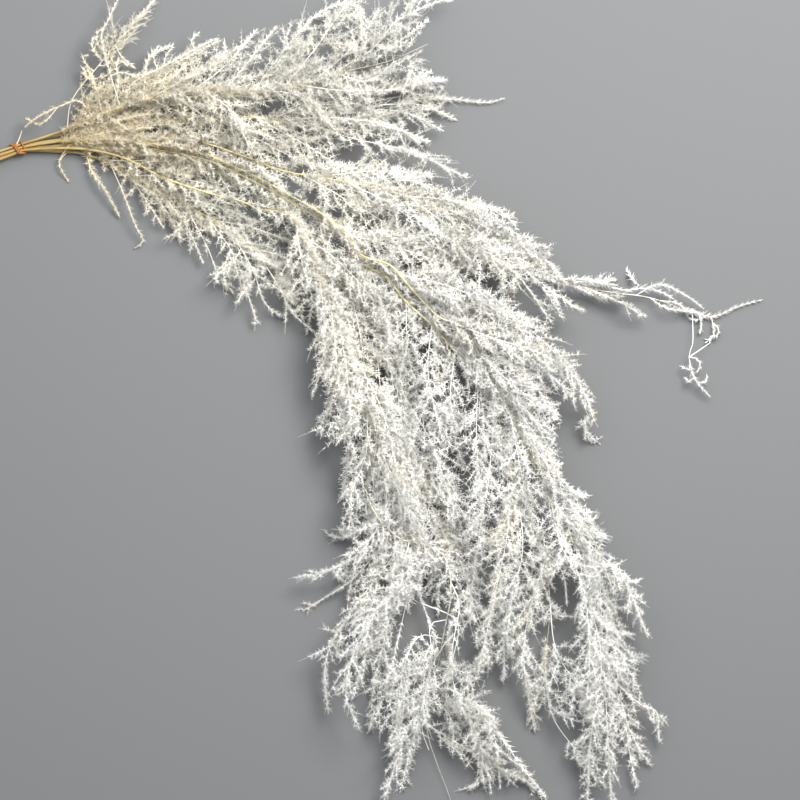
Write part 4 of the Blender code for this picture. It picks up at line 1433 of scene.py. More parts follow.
@dataclass
class Sprouting:
    """How shoots grow out of their bearers.

    Attributes:
        profile: Length along the bearer, as shares of the longest.
        angles: Angle to the bearer at its root, its middle and its tip, in degrees.
        tilt: How far they stand out of the flat side, as a spread in radians.
        curl: How strongly they turn towards the bearer's tip.
        droop: How strongly they hang.
        variety: Least and most of their length, as shares.
        angle_spread: Spread of their angle, in degrees.
        waver: Spread of their curl.
        lift: How far they all stand out of the flat side, in radians.
        curl_variety: Least and most of their curl, as shares.
        tint_spread: Spread of how light they are.
    """

    profile: tuple[float, ...]
    angles: tuple[float, float, float]
    tilt: float
    curl: float
    droop: float
    variety: tuple[float, float] = (0.55, 1.25)
    angle_spread: float = 13.0
    waver: float = 0.28
    lift: float = 0.0
    curl_variety: tuple[float, float] = (0.2, 1.4)
    tint_spread: float = 0.12

    def stirred(self, share: float) -> "Sprouting":
        """The same way of growing with a stronger curl and waver."""
        return replace(self, curl=share * self.curl, waver=share * self.waver)

    def grow(self, bearers: Bearers, draw: np.random.Generator) -> Shoots:
        """The shoots on the given bearers.

        Args:
            bearers: Where they grow.
            draw: The seeded source of their variety.

        Returns:
            The shoots.
        """
        count = len(bearers.share)
        stops = np.linspace(0.0, 1.0, len(self.profile))
        length = bearers.reach * np.interp(bearers.share, stops, self.profile) * draw.uniform(*self.variety, count)
        angle = np.interp(bearers.share, (0.0, 0.5, 1.0), self.angles) + draw.normal(0.0, self.angle_spread, count)
        angle = np.radians(angle)
        tilt = draw.normal(self.lift, self.tilt, count)
        level, up = across(bearers.heading, bearers.normal)
        out = unit(level * (np.cos(tilt) * bearers.side)[:, None] + up * np.sin(tilt)[:, None])
        heading = unit(bearers.heading * np.cos(angle)[:, None] + out * np.sin(angle)[:, None])
        turned = bearers.heading - (bearers.heading * heading).sum(1, keepdims=True) * heading
        curl = turned * (self.curl * draw.uniform(*self.curl_variety, count))[:, None]
        curl = curl + draw.normal(0.0, self.waver, (count, 3))
        curl[:, 2] -= self.droop
        tint = np.clip(bearers.tint + draw.normal(0.0, self.tint_spread, count), 0.0, 1.0)
        return Shoots(bearers.place, heading, curl, length, up, tint, bearers.outer)


@dataclass
class Needles:
    """Two slim needles with one root on a shoot, modelled once and copied for each place.

    Attributes:
        radius: How thick they are at the root.
        root: The corners at the root, which keep their size. Those of the tips are at the origin here.
        tips: The corners of the tips for needles of length one. Those of the root are at the origin here.
        faces: The triangles.
        forward: How much further forward the needles reach as they lean out less, as a share.
    """

    radius: float
    root: Array | None = None
    tips: Array | None = None
    faces: Array | None = None
    forward: float = 0.35

    def take(self, made: bpy.types.Object) -> None:
        """Keeps the corners and faces of the modelled shape, and removes its object.

        Args:
            made: The modelled shape, with needles of length one.
        """
        points, self.faces = numbers(made.data)
        is_tip = np.linalg.norm(points, axis=1) > 0.5
        self.root = np.where(is_tip[:, None], 0.0, points)
        self.tips = np.where(is_tip[:, None], points, 0.0)
        bpy.data.objects.remove(made)

    def copies(self, place: Array, heading: Array, turned: Array, length: Array, spread: Array,
               thick: Array) -> Array:
        """The corners of a copy at each place.

        Args:
            place: Where each one sits.
            heading: The shoot's direction there.
            turned: The direction to which the first needle leans.
            length: The needles' length.
            spread: How far they lean out, as a share.
            thick: Their thickness as a share.

        Returns:
            The corners, one block for each copy.
        """
        third = np.cross(heading, turned)
        tips = self.tips[None] * length[:, None, None] * np.stack(
            [1.0 + self.forward * (1.0 - spread), spread, np.ones_like(spread)], axis=1)[:, None]
        local = self.root[None] * thick[:, None, None] + tips
        frame = np.stack([heading, turned, third], axis=1)
        return place[:, None] + np.einsum("nvk,nkc->nvc", local, frame)


@dataclass
class NeedlePair(Needles):
    """Two needles that lean forward to both sides, for the ends of shoots.

    Attributes:
        lean: Angle between each needle and the shoot.
    """

    lean: float = math.radians(52.0)

    def model(self) -> None:
        """Models the pair: a three-sided ring, drawn out to a point on either side."""
        deselect()
        bpy.ops.mesh.primitive_circle_add(vertices=3, radius=self.radius, fill_type="NOTHING",
                                          rotation=(math.pi / 2, 0.0, 0.0))
        pair = bpy.context.object
        bpy.ops.object.transform_apply(location=False, rotation=True, scale=False)
        ring = [tuple(vertex.co) for vertex in pair.data.vertices]
        for side in (1.0, -1.0):
            bpy.ops.object.mode_set(mode="OBJECT")
            for vertex in pair.data.vertices:
                vertex.select = tuple(vertex.co) in ring
            for edge in pair.data.edges:
                edge.select = all(pair.data.vertices[index].select for index in edge.vertices)
            bpy.ops.object.mode_set(mode="EDIT")
            bpy.ops.mesh.select_mode(type="EDGE")
            reach = (math.cos(self.lean), side * math.sin(self.lean), 0.0)
            bpy.ops.mesh.extrude_edges_move(TRANSFORM_OT_translate={"value": reach})
            bpy.ops.mesh.merge(type="CENTER")
        bpy.ops.mesh.select_all(action="SELECT")
        bpy.ops.mesh.normals_make_consistent(inside=False)
        bpy.ops.object.mode_set(mode="OBJECT")
        self.take(pair)


@dataclass
class NeedleSpar(Needles):
    """Two needles on opposite sides that make one slim spar across the shoot, for the dense inner parts.

    Attributes:
        bow: How far forward its tips are, as a share of a needle's length.
        back_share: How far back its root reaches, as a share of the radius.
        side_share: How far up and down it reaches, in the same way.
    """

    bow: float = 0.07
    back_share: float = 0.7
    side_share: float = 0.9

    def model(self) -> None:
        """Models the spar: a four-faced solid, drawn out to both sides and a little forward."""
        deselect()
        bpy.ops.mesh.primitive_cone_add(vertices=3, radius1=1.0, depth=1.0)
        spar = bpy.context.object
        out = math.sqrt(1.0 - self.bow ** 2)
        back, side = -self.back_share * self.radius, self.side_share * self.radius
        corners = ((back, 0.0, side), (back, 0.0, -side), (self.bow, -out, 0.0), (self.bow, out, 0.0))
        for vertex, corner in zip(spar.data.vertices, corners):
            vertex.co = corner
        bpy.ops.object.mode_set(mode="EDIT")
        bpy.ops.mesh.select_all(action="SELECT")
        bpy.ops.mesh.normals_make_consistent(inside=False)
        bpy.ops.object.mode_set(mode="OBJECT")
        self.take(spar)


@dataclass
class ShootCore:
    """The slim core of a shoot, modelled once: a three-sided tube that is drawn out to a point.

    Attributes:
        stations: Shares of its length at which it has a ring of corners and may bend.
        taper: How thick it would be at its tip without the point, as a share.
        points: Its corners.
        faces: Its triangles.
    """

    stations: tuple[float, ...]
    taper: float = 0.6
    points: Array | None = None
    faces: Array | None = None

    def model(self) -> None:
        """Models the core along the X axis, one unit long and one unit in radius."""
        deselect()
        bpy.ops.mesh.primitive_circle_add(vertices=3, radius=1.0, fill_type="NGON",
                                          rotation=(0.0, math.pi / 2, 0.0))
        core = bpy.context.object
        bpy.ops.object.transform_apply(location=False, rotation=True, scale=False)
        bpy.ops.object.mode_set(mode="EDIT")
        bpy.ops.mesh.select_mode(type="EDGE")
        bpy.ops.mesh.select_all(action="SELECT")
        size = 1.0
        for before, station in zip((0.0, *self.stations), self.stations):
            bpy.ops.mesh.extrude_edges_move(TRANSFORM_OT_translate={"value": (station - before, 0.0, 0.0)})
            wanted = 1.0 - (1.0 - self.taper) * station
            bpy.ops.transform.resize(value=(1.0, wanted / size, wanted / size))
            size = wanted
        bpy.ops.mesh.extrude_edges_move(TRANSFORM_OT_translate={"value": (1.0 - self.stations[-1], 0.0, 0.0)})
        bpy.ops.mesh.merge(type="CENTER")
        bpy.ops.mesh.select_all(action="SELECT")
        bpy.ops.mesh.normals_make_consistent(inside=False)
        bpy.ops.object.mode_set(mode="OBJECT")
        self.points, self.faces = numbers(core.data)
        bpy.data.objects.remove(core)

    def copies(self, shoots: Shoots, radius: float) -> Array:
        """The corners of a copy for each shoot, bent along it.

        Args:
            shoots: The shoots.
            radius: The radius at their roots.

        Returns:
            The corners, one block for each shoot.
        """
        count, corners = len(shoots), len(self.points)
        rows = np.repeat(np.arange(count), corners)
        share = np.tile(self.points[:, 0], count)
        place, heading = shoots.at(rows, share)
        side, up = across(heading, shoots.normal[rows])
        flat = np.tile(self.points[:, 1:], (count, 1)) * radius
        return (place + side * flat[:, :1] + up * flat[:, 1:]).reshape(count, corners, 3)


@dataclass
class Growth:
    """Faces and corners that gather into one mesh, each corner with its tint.

    Attributes:
        points: The corners, one block for each shape that was added.
        faces: The triangles, in the same way.
        tints: How light the corners are, in the same way.
        count: The number of corners so far.
    """

    points: list[Array] = field(default_factory=list)
    faces: list[Array] = field(default_factory=list)
    tints: list[Array] = field(default_factory=list)
    count: int = 0

    def add(self, blocks: Array, faces: Array, tint: Array) -> None:
        """Adds copies of one shape.

        Args:
            blocks: The corners of each copy.
            faces: The triangles of one copy.
            tint: The tint of each copy, or of each of its corners.
        """
        copies, corners = blocks.shape[:2]
        starts = self.count + corners * np.arange(copies)
        self.points.append(blocks.reshape(-1, 3))
        self.faces.append((faces[None] + starts[:, None, None]).reshape(-1, 3))
        tint = np.repeat(tint[:, None], corners, axis=1) if tint.ndim == 1 else tint
        self.tints.append(tint.ravel())
        self.count += copies * corners

    def mesh(self, name: str, lay: Lay) -> bpy.types.Object:
        """One object with all that was added.

        Args:
            name: The object's name.
            lay: Where its corners may lie.

        Returns:
            The object.
        """
        points = lay.settle(np.vstack(self.points)).astype(np.float32)
        faces = np.vstack(self.faces)
        mesh = bpy.data.meshes.new(name)
        mesh.vertices.add(len(points))
        mesh.vertices.foreach_set("co", points.ravel())
        mesh.loops.add(faces.size)
        mesh.loops.foreach_set("vertex_index", faces.ravel().astype(np.int32))
        mesh.polygons.add(len(faces))
        mesh.polygons.foreach_set("loop_start", np.arange(0, faces.size, 3, dtype=np.int32))
        mesh.update(calc_edges=True)
        tint = mesh.attributes.new("tint", "FLOAT", "POINT")
        tint.data.foreach_set("value", np.concatenate(self.tints).astype(np.float32))
        made = bpy.data.objects.new(name, mesh)
        bpy.context.scene.collection.objects.link(made)
        return made


def tubes(name: str, lines: list[Array], radii: list[Array], rounding: int) -> bpy.types.Object:
    """Closed round tubes along some lines, as one mesh.

    Args:
        name: The object's name.
        lines: The points of each tube.
        radii: The radius at each point.
        rounding: How round a tube is: it has four sides, and two more for each step.

    Returns:
        The object.
    """
    deselect()
    bpy.ops.curve.primitive_nurbs_path_add()
    made = bpy.context.object
    made.name = name
    curve = made.data
    curve.splines.clear()
    curve.bevel_depth = 1.0
    curve.bevel_resolution = rounding
    curve.use_fill_caps = True
    curve.twist_mode = "MINIMUM"
    for line, radius in zip(lines, radii):
        spline = curve.splines.new("POLY")
        spline.points.add(len(line) - 1)
        spline.points.foreach_set("co", np.hstack([line, np.ones((len(line), 1))]).ravel())
        spline.points.foreach_set("radius", radius)
    bpy.ops.object.convert(target="MESH")
    return bpy.context.object


@dataclass
class Foliage:
    """The leaves of one spray: plume axes, side fronds, barbs and needles.

    Attributes:
        route: The spray's centre lines.
        lay: Where leaves may lie.
        pair: The modelled pair of needles, for the ends of shoots.
        spar: The modelled spar of needles, for their inner parts.
        barb_core: The modelled core of a barb.
        frond_core: The modelled core of a side frond.
        seed: Seed of the variety.
        plume_radius: Radius of a plume's axis at its root and its tip.
        bare_axis: How many times thicker the axis of a bare plume is.
        axis_tint: How light the axes are.
        frond_radius: Radius of a side frond at its root.
        barb_radius: Radius of a barb at its root.
        last_place: Share of a line up to which shoots grow.
        place_variety: How far their places vary, as a share of the gap.
        roll: Spread of the turn of a line's flat side.
        roll_swing: How far that turn swings along the line.
        roll_wave: Length over which it does.
        roll_shift: How much later a line starts to swing, by its own turn.
        tints: Least and most of how light a line's shoots are.
        tuft_tint: How light the shoots of tufts and fuzz are.
        barb_gap: Distance between barbs.
        barb_share: Length of the longest barb as a share of its frond's.
        barbed_from: Length from which a side frond has barbs.
        barbed_part: Share of a frond's length that counts for the number of its barbs.
        barb_start: Share of a frond at which its barbs start.
        barb_span: Share of it over which they stand.
        barb_variety: Least and most of their places within one gap.
        long_frond: Length from which a frond gets the finer core.
        needle_gap: Distance between needles on a shoot.
        needle_start: Share of a shoot at which its needles start.
        needle_length: Length of a needle.
        spars_until: Share of a shoot from which needles lean forward instead of lying across as one spar.
        outer_on_line: How much further out the end of a line is than its root.
        outer_on_shoot: The same for a shoot.
        outer_line: How far out the needles on a line count as sitting.
        deep_from: Depth below the canopy from which leaves change.
        deep_over: Distance over which they do.
        deep_thicker: How much thicker the deepest needles are.
        deep_longer: How much longer they are.
        deep_spared: Share of them that is left out.
        thin_finer: How much finer needles are where the leaves are thin.
        thin_closer: How much closer they stand there.
        thin_calms: How much less depth changes them there.
        line_gap: Distance between needles on a line.
        line_thick: How many times thicker these are.
        line_shares: How far along a shoot they count as sitting, by their place on the line.
        line_tints: Least and most of how light they are.
        gap_by_outer: How far apart needles stand, by how far out they sit.
        size_by_outer: Their length in the same way.
        thick_by_outer: Their thickness in the same way.
        length_by_share: Their length by how far along the shoot they sit.
        spread_by_share: How far they lean out in the same way.
        length_variety: Least and most of their length, as shares.
        spread_variety: Least and most of how far they lean out, as shares.
        tint_spread: Spread of how light they are.
        skew: Spread of the angle at which a spar lies across.
        flatness: How far needles stand out of the flat side, as a share.
        tip_points: Number of points on the leaved tip of a stem.
        fronds: How side fronds grow.
        barbs: How barbs grow.
        dressing: How barbs grow on the lines themselves.
        tufts: How the shoots of a tuft grow.
    """

    route: SprayRoute
    lay: Lay
    pair: NeedlePair
    spar: NeedleSpar
    barb_core: ShootCore
    frond_core: ShootCore
    seed: int
    plume_radius: tuple[float, float] = (0.00042, 0.00020)
    bare_axis: float = 1.5
    axis_tint: float = 0.62
    frond_radius: float = 0.00021
    barb_radius: float = 0.00015
    last_place: float = 0.985
    place_variety: float = 0.35
    roll: float = 0.35
    roll_swing: float = 0.5
    roll_wave: float = 0.018
    roll_shift: float = 20.0
    tints: tuple[float, float] = (0.35, 0.9)
    tuft_tint: float = 0.15
    barb_gap: float = 0.0044
    barb_share: float = 0.42
    barbed_from: float = 0.012
    barbed_part: float = 0.7
    barb_start: float = 0.08
    barb_span: float = 0.70
    barb_variety: tuple[float, float] = (0.2, 0.8)
    long_frond: float = 0.016
    needle_gap: float = 0.00122
    needle_start: float = 0.05
    needle_length: float = 0.0050
    spars_until: float = 0.78
    outer_on_line: float = 0.45
    outer_on_shoot: float = 0.40
    outer_line: float = 0.15
    deep_from: float = 0.0035
    deep_over: float = 0.011
    deep_thicker: float = 2.0
    deep_longer: float = 0.55
    deep_spared: float = 0.28
    thin_finer: float = 0.40
    thin_closer: float = 0.26
    thin_calms: float = 0.8
    line_gap: float = 0.0013
    line_thick: float = 1.4
    line_shares: tuple = ((0.0, 0.1, 0.85, 1.0), (0.05, 0.2, 0.55, 1.0))
    line_tints: tuple[float, float] = (0.5, 0.9)
    gap_by_outer: tuple = ((0.0, 0.5, 0.8, 1.0), (1.15, 1.0, 0.82, 0.76))
    size_by_outer: tuple = ((0.0, 0.4, 0.8, 1.3), (1.05, 0.92, 0.74, 0.52))
    thick_by_outer: tuple = ((0.0, 0.5, 1.1), (1.10, 1.0, 0.85))
    length_by_share: tuple = ((0.0, 0.15, 0.7, 1.0), (0.8, 1.0, 0.85, 0.45))
    spread_by_share: tuple = ((0.0, 0.15, 0.7, 1.0), (1.0, 1.0, 0.85, 0.5))
    length_variety: tuple[float, float] = (0.78, 1.18)
    spread_variety: tuple[float, float] = (0.65, 1.2)
    tint_spread: float = 0.08
    skew: float = 0.45
    flatness: float = 0.75
    tip_points: int = 24
    fronds: Sprouting = field(default_factory=lambda: Sprouting(
        (0.55, 1.0, 0.95, 0.75, 0.5, 0.25), (54.0, 44.0, 30.0), 0.55, 0.65, 0.12,
        angle_spread=16.0, waver=0.45))
    barbs: Sprouting = field(default_factory=lambda: Sprouting(
        (1.0, 0.9, 0.7, 0.45), (52.0, 46.0, 36.0), 0.60, 0.50, 0.10, angle_spread=14.0, waver=0.40))
    dressing: Sprouting = field(default_factory=lambda: Sprouting(
        (0.8, 1.0, 0.9), (56.0, 50.0, 44.0), 1.3, 0.9, 0.25, angle_spread=22.0, waver=0.65))
    tufts: Sprouting = field(default_factory=lambda: Sprouting(
        (0.6, 1.0, 1.0), (30.0, 32.0, 34.0), 0.8, 0.6, 0.15, lift=0.9))

    def build(self) -> bpy.types.Object:
        """The leaves as one object."""
        draw = np.random.default_rng(self.seed)
        growth = Growth()
        fronds, barbs = self.shoots(draw)
        long = fronds.length > self.long_frond
        for shoots, core, radius in ((fronds.only(long), self.frond_core, self.frond_radius),
                                     (fronds.only(~long), self.barb_core, self.frond_radius),
                                     (barbs, self.barb_core, self.barb_radius)):
            growth.add(core.copies(shoots, radius), core.faces, shoots.tint)
        needles = 0
        for shoots in (barbs, fronds):
            needles += self.needles_on_shoots(growth, shoots, draw)
        for habit, line in self.leaved_lines():
            if habit.value.brush_from < 1.0:
                needles += self.needles_on_line(growth, line, habit.value.brush_from, draw)
        self.axes(growth)
        made = growth.mesh(f"leaves_{self.route.name.removeprefix('spray_')}", self.lay)
        LOG.info("%s: %d side fronds, %d barbs, %d needles, %d triangles", made.name, len(fronds), len(barbs),
                 needles, len(made.data.polygons))
        return made

    def leaved_lines(self) -> list[tuple[Habit, Array]]:
        """Every line that carries leaves, with its habit: the plumes, and the tip of the stem if it is leaved."""
        lines = [(plume.habit, plume.line) for plume in self.route.plumes]
        if self.route.name in STEM_TIPS:
            share, habit = STEM_TIPS[self.route.name]
            stem = self.route.stem
            length = along(stem)[-1]
            lines.append((habit, walk(stem, np.linspace(share * length, length, self.tip_points))))
        lines.append((Habit.DRESS, stretch_of(self.route, *DRESSED[self.route.name])))
        lines += [(Habit.TUFT, stretch_of(self.route, *ends)) for ends in TUFTED.get(self.route.name, [])]
        return lines

    def bearers(self, line: Array, leafing: Leafing, reach: float, roll: float, tint: float,
                draw: np.random.Generator) -> Bearers:
        """Places along a line from which shoots grow, left and right in turn.

        Args:
            line: The points of the line.
            leafing: How the line is leaved.
            reach: Length of the longest shoot.
            roll: Turn of the flat side about the line.
            tint: How light the shoots are.
            draw: The seeded source of variety.

        Returns:
            The places.
        """
        length = along(line)[-1]
        where = np.arange(leafing.bare * length, self.last_place * length, leafing.frond_gap)
        moved = draw.uniform(-self.place_variety, self.place_variety, len(where))
        where = np.clip(where + moved * leafing.frond_gap, 0.0, length)
        heading = headings(line, where)
        level, up = across(heading, np.broadcast_to(UP, heading.shape))
        rolls = roll + self.roll_swing * np.sin(where / self.roll_wave + self.roll_shift * roll)
        normal = np.cos(rolls)[:, None] * up + np.sin(rolls)[:, None] * level
        outer = leafing.outer + self.outer_on_line * where / length
        return Bearers(walk(line, where), heading, normal, where / length, by_turns(np.arange(len(where))),
                       np.full(len(where), reach), np.full(len(where), tint), outer)

    def shoots(self, draw: np.random.Generator) -> tuple[Shoots, Shoots]:
        """The side fronds and the barbs.

        Args:
            draw: The seeded source of variety.

        Returns:
            The side fronds and the barbs.
        """
        crowds = []
        for habit, line in self.leaved_lines():
            leafing = habit.value
            length = along(line)[-1]
            roll = draw.normal(0.0, self.roll)
            tint = draw.uniform(*self.tints)
            if leafing.frond_gap > 0.0:
                reach = min(leafing.frond_share * length, leafing.frond_most)
                kind = {Habit.DRESS: self.dressing, Habit.TUFT: self.tufts}.get(habit, self.fronds)
                kind = kind.stirred(RESTLESS.get(self.route.name, 1.0))
                tint = self.tuft_tint if habit in (Habit.TUFT, Habit.FUZZ) else tint
                bearers = self.bearers(line, leafing, reach, roll, tint, draw)
                crowds.append(kind.grow(bearers, draw))
        fronds = merged(crowds).kept_clear(self.lay)
        return fronds, self.barbs.grow(self.frond_bearers(fronds, draw), draw).kept_clear(self.lay)

    def frond_bearers(self, fronds: Shoots, draw: np.random.Generator) -> Bearers:
        """The places on side fronds from which barbs grow.

        Args:
            fronds: The side fronds.
            draw: The seeded source of variety.

        Returns:
            The places.
        """
        counts = fronds.length * self.barbed_part / self.barb_gap
        counts = np.where(fronds.length > self.barbed_from, counts, 0).astype(int)
        rows, number = numbered(counts)
        moved = draw.uniform(*self.barb_variety, len(rows))
        share = self.barb_start + self.barb_span * (number + moved) / counts[rows]
        place, heading = fronds.at(rows, share)
        reach = self.barb_share * fronds.length[rows]
        outer = fronds.outer[rows] + self.outer_on_shoot * share
        return Bearers(place, heading, fronds.normal[rows], share, by_turns(number), reach, fronds.tint[rows], outer)

    def needles_on_shoots(self, growth: Growth, shoots: Shoots, draw: np.random.Generator) -> int:
        """Adds pairs of needles round shoots.

        Args:
            growth: What they are added to.
            shoots: The shoots.
            draw: The seeded source of variety.

        Returns:
            How many needles were added.
        """
        gap = self.needle_gap * np.interp(shoots.outer, *self.gap_by_outer) * (
            1.0 - self.thin_closer * self.lay.thinned(shoots.root))
        counts = np.maximum((shoots.length / gap).astype(int), 2)
        rows, number = numbered(counts)
        share = self.needle_start + (1.0 - self.needle_start) * (number + 0.5) / counts[rows]
        place, heading = shoots.at(rows, share)
        turn = number * GOLDEN_TURN + draw.uniform(0.0, 2 * math.pi, len(shoots))[rows]
        outer = shoots.outer[rows] + self.outer_on_shoot * share
        return self.needles(growth, place, heading, shoots.normal[rows], turn, share, outer, shoots.tint[rows], draw)

    def needles_on_line(self, growth: Growth, line: Array, start: float, draw: np.random.Generator) -> int:
        """Adds pairs of needles round the end of a line.

        Args:
            growth: What they are added to.
            line: The points of the line.
            start: Share of the line from its root that stays bare.
            draw: The seeded source of variety.

        Returns:
            How many needles were added.
        """
        length = along(line)[-1]
        where = np.arange(start * length, length, self.line_gap)
        share = np.interp(np.linspace(0.0, 1.0, len(where)), *self.line_shares)
        heading = headings(line, where)
        normal = np.broadcast_to(UP, heading.shape)
        turn = np.arange(len(where)) * GOLDEN_TURN
        tint = np.full(len(where), draw.uniform(*self.line_tints))
        outer = np.full(len(where), self.outer_line)
        return self.needles(growth, walk(line, where), heading, normal, turn, share, outer, tint, draw, True)

    def needles(self, growth: Growth, place: Array, heading: Array, normal: Array, turn: Array, share: Array,
                outer: Array, tint: Array, draw: np.random.Generator, on_line: bool = False) -> int:
        """Adds two needles at each place.

        Args:
            growth: What they are added to.
            place: Where they sit.
            heading: The direction of what they sit on.
            normal: The direction that its flat side faces.
            turn: Turn of the two about the heading.
            share: How far along they sit, from 0 to 1.
            outer: How far out they sit, from 0 in the thick of the leaves.
            tint: How light each one is.
            draw: The seeded source of variety.
            on_line: Whether they sit on a plume or a stem: all lean forward then, and are thick enough to show.

        Returns:
            How many needles were added.
        """
        thin = np.zeros(len(place)) if on_line else self.lay.thinned(place)
        thicker, spars_until = (self.line_thick, 0.0) if on_line else (1.0, self.spars_until)
        deep = np.clip((self.lay.depth(place) - self.deep_from) / self.deep_over, 0.0, 1.0)
        deep = deep * (1.0 - self.thin_calms * thin)
        kept = self.lay.under_stems(place) & (draw.uniform(size=len(place)) > self.deep_spared * deep)
        place, heading, normal, turn, share, outer, tint, thin, deep = (
            values[kept] for values in (place, heading, normal, turn, share, outer, tint, thin, deep))
        level, up = across(heading, normal)
        turned = unit(level * np.cos(turn)[:, None] + self.flatness * up * np.sin(turn)[:, None])
        thick = thicker * np.interp(outer, *self.thick_by_outer) * (1.0 + self.deep_thicker * deep) * (
            1.0 - self.thin_finer * thin)
        length = self.needle_length * np.interp(outer, *self.size_by_outer) * np.interp(
            share, *self.length_by_share) * (1.0 + self.deep_longer * deep)
        length = length * draw.uniform(*self.length_variety, len(share))
        spread = np.interp(share, *self.spread_by_share) * draw.uniform(*self.spread_variety, len(share))
        tint = np.clip(tint + draw.normal(0.0, self.tint_spread, len(share)), 0.0, 1.0)
        skew = draw.normal(0.0, self.skew, len(share))[:, None]
        inner = share < spars_until
        ends = ~inner
        growth.add(self.pair.copies(place[ends], heading[ends], turned[ends], length[ends], spread[ends],
                                    thick[ends]), self.pair.faces, tint[ends])
        ahead = heading * np.cos(skew) + turned * np.sin(skew)
        out = turned * np.cos(skew) - heading * np.sin(skew)
        growth.add(self.spar.copies(place[inner], ahead[inner], out[inner], length[inner], np.ones(inner.sum()),
                                    thick[inner]), self.spar.faces, tint[inner])
        return 2 * len(share)

    def axes(self, growth: Growth) -> None:
        """Adds the axes of the plumes."""
        lines = [plume.line for plume in self.route.plumes]
        radii = [np.linspace(*self.plume_radius, len(line)) for line in lines]
        radii = [radius * (self.bare_axis if plume.habit is Habit.BARE else 1.0)
                 for radius, plume in zip(radii, self.route.plumes)]
        laid = tubes("plume_axes", lines, radii, 0)
        points, faces = numbers(laid.data)
        growth.add(points[None], faces, np.full((1, len(points)), self.axis_tint))
        bpy.data.objects.remove(laid)


def merged(crowds: list[Shoots]) -> Shoots:
    """Several crowds of shoots as one."""
    whole = crowds[0]
    for crowd in crowds[1:]:
        whole = whole.joined(crowd)
    return whole


@dataclass
class Stem:
    """The stem of one spray, with swellings where plumes branch off, and a cut end whose pith is sunk.

    Attributes:
        route: The routes of the spray.
        bundle: The tied bundle.
        rounding: How round the stem is.
        taper: Distances from the cut end, and the thickness there as a share of that of the cut end.
        tip_taper: Shares of the length, and the thickness there as a further share.
        ease: Distance over which a thicker or slimmer part begins and ends.
        swelling: How much thicker it is where a plume branches off.
        swelling_reach: How far that reaches to each side.
        rim: Width of the rim of the cut end.
        pith_depth: How deep its pith is sunk.
        smooth_below: Angle below which edges look round.
    """

    route: SprayRoute
    bundle: Bundle
    rounding: int = 3
    taper: tuple = ((0.0, 0.055, 0.075, 0.10, 0.125, 0.16, 0.20, 0.40, 0.90),
                    (0.94, 0.94, 1.0, 0.98, 0.85, 0.66, 0.56, 0.50, 0.42))
    tip_taper: tuple = ((0.0, 0.80, 0.90, 1.0), (1.0, 0.85, 0.45, 0.25))
    ease: float = 0.02
    swelling: float = 0.30
    swelling_reach: float = 0.0022
    rim: float = 0.00034
    pith_depth: float = 0.0005
    smooth_below: float = math.radians(50.0)

    def build(self) -> bpy.types.Object:
        """The stem as one object."""
        line = self.route.stem
        gone = along(line)
        radius = self.bundle.cut_radius * np.interp(gone, *self.taper) * np.interp(gone / gone[-1], *self.tip_taper)
        if self.route.name in GIRTHS:
            start, end, times = GIRTHS[self.route.name]
            ends = (start - self.ease, start, end, end + self.ease)
            radius = radius * np.interp(gone, ends, (1.0, times, times, 1.0))
        for plume in self.route.plumes:
            away = np.linalg.norm(line - plume.line[0], axis=1)
            radius = radius * (1.0 + self.swelling * np.exp(-(away / self.swelling_reach) ** 2))
        made = tubes(f"stem_{self.route.name.removeprefix('spray_')}", [line], [radius], self.rounding)
        self.hollow_cut(made, line)
        bpy.ops.object.shade_smooth_by_angle(angle=self.smooth_below)
        return made

    def hollow_cut(self, made: bpy.types.Object, line: Array) -> None:
        """Sinks the pith of the cut end below its rim.

        Args:
            made: The stem.
            line: Its centre line.
        """
        inward = unit(line[1] - line[0])
        for face in made.data.polygons:
            face.select = bool((Vector(line[0]) - face.center).length < self.rim and len(face.vertices) > 4)
        if not any(face.select for face in made.data.polygons):
            return
        bpy.context.view_layer.objects.active = made
        made.select_set(True)
        bpy.ops.object.mode_set(mode="EDIT")
        bpy.ops.mesh.select_mode(type="FACE")
        bpy.ops.mesh.inset(thickness=self.rim, depth=0.0)
        bpy.ops.transform.translate(value=tuple(inward * self.pith_depth))
        bpy.ops.object.mode_set(mode="OBJECT")


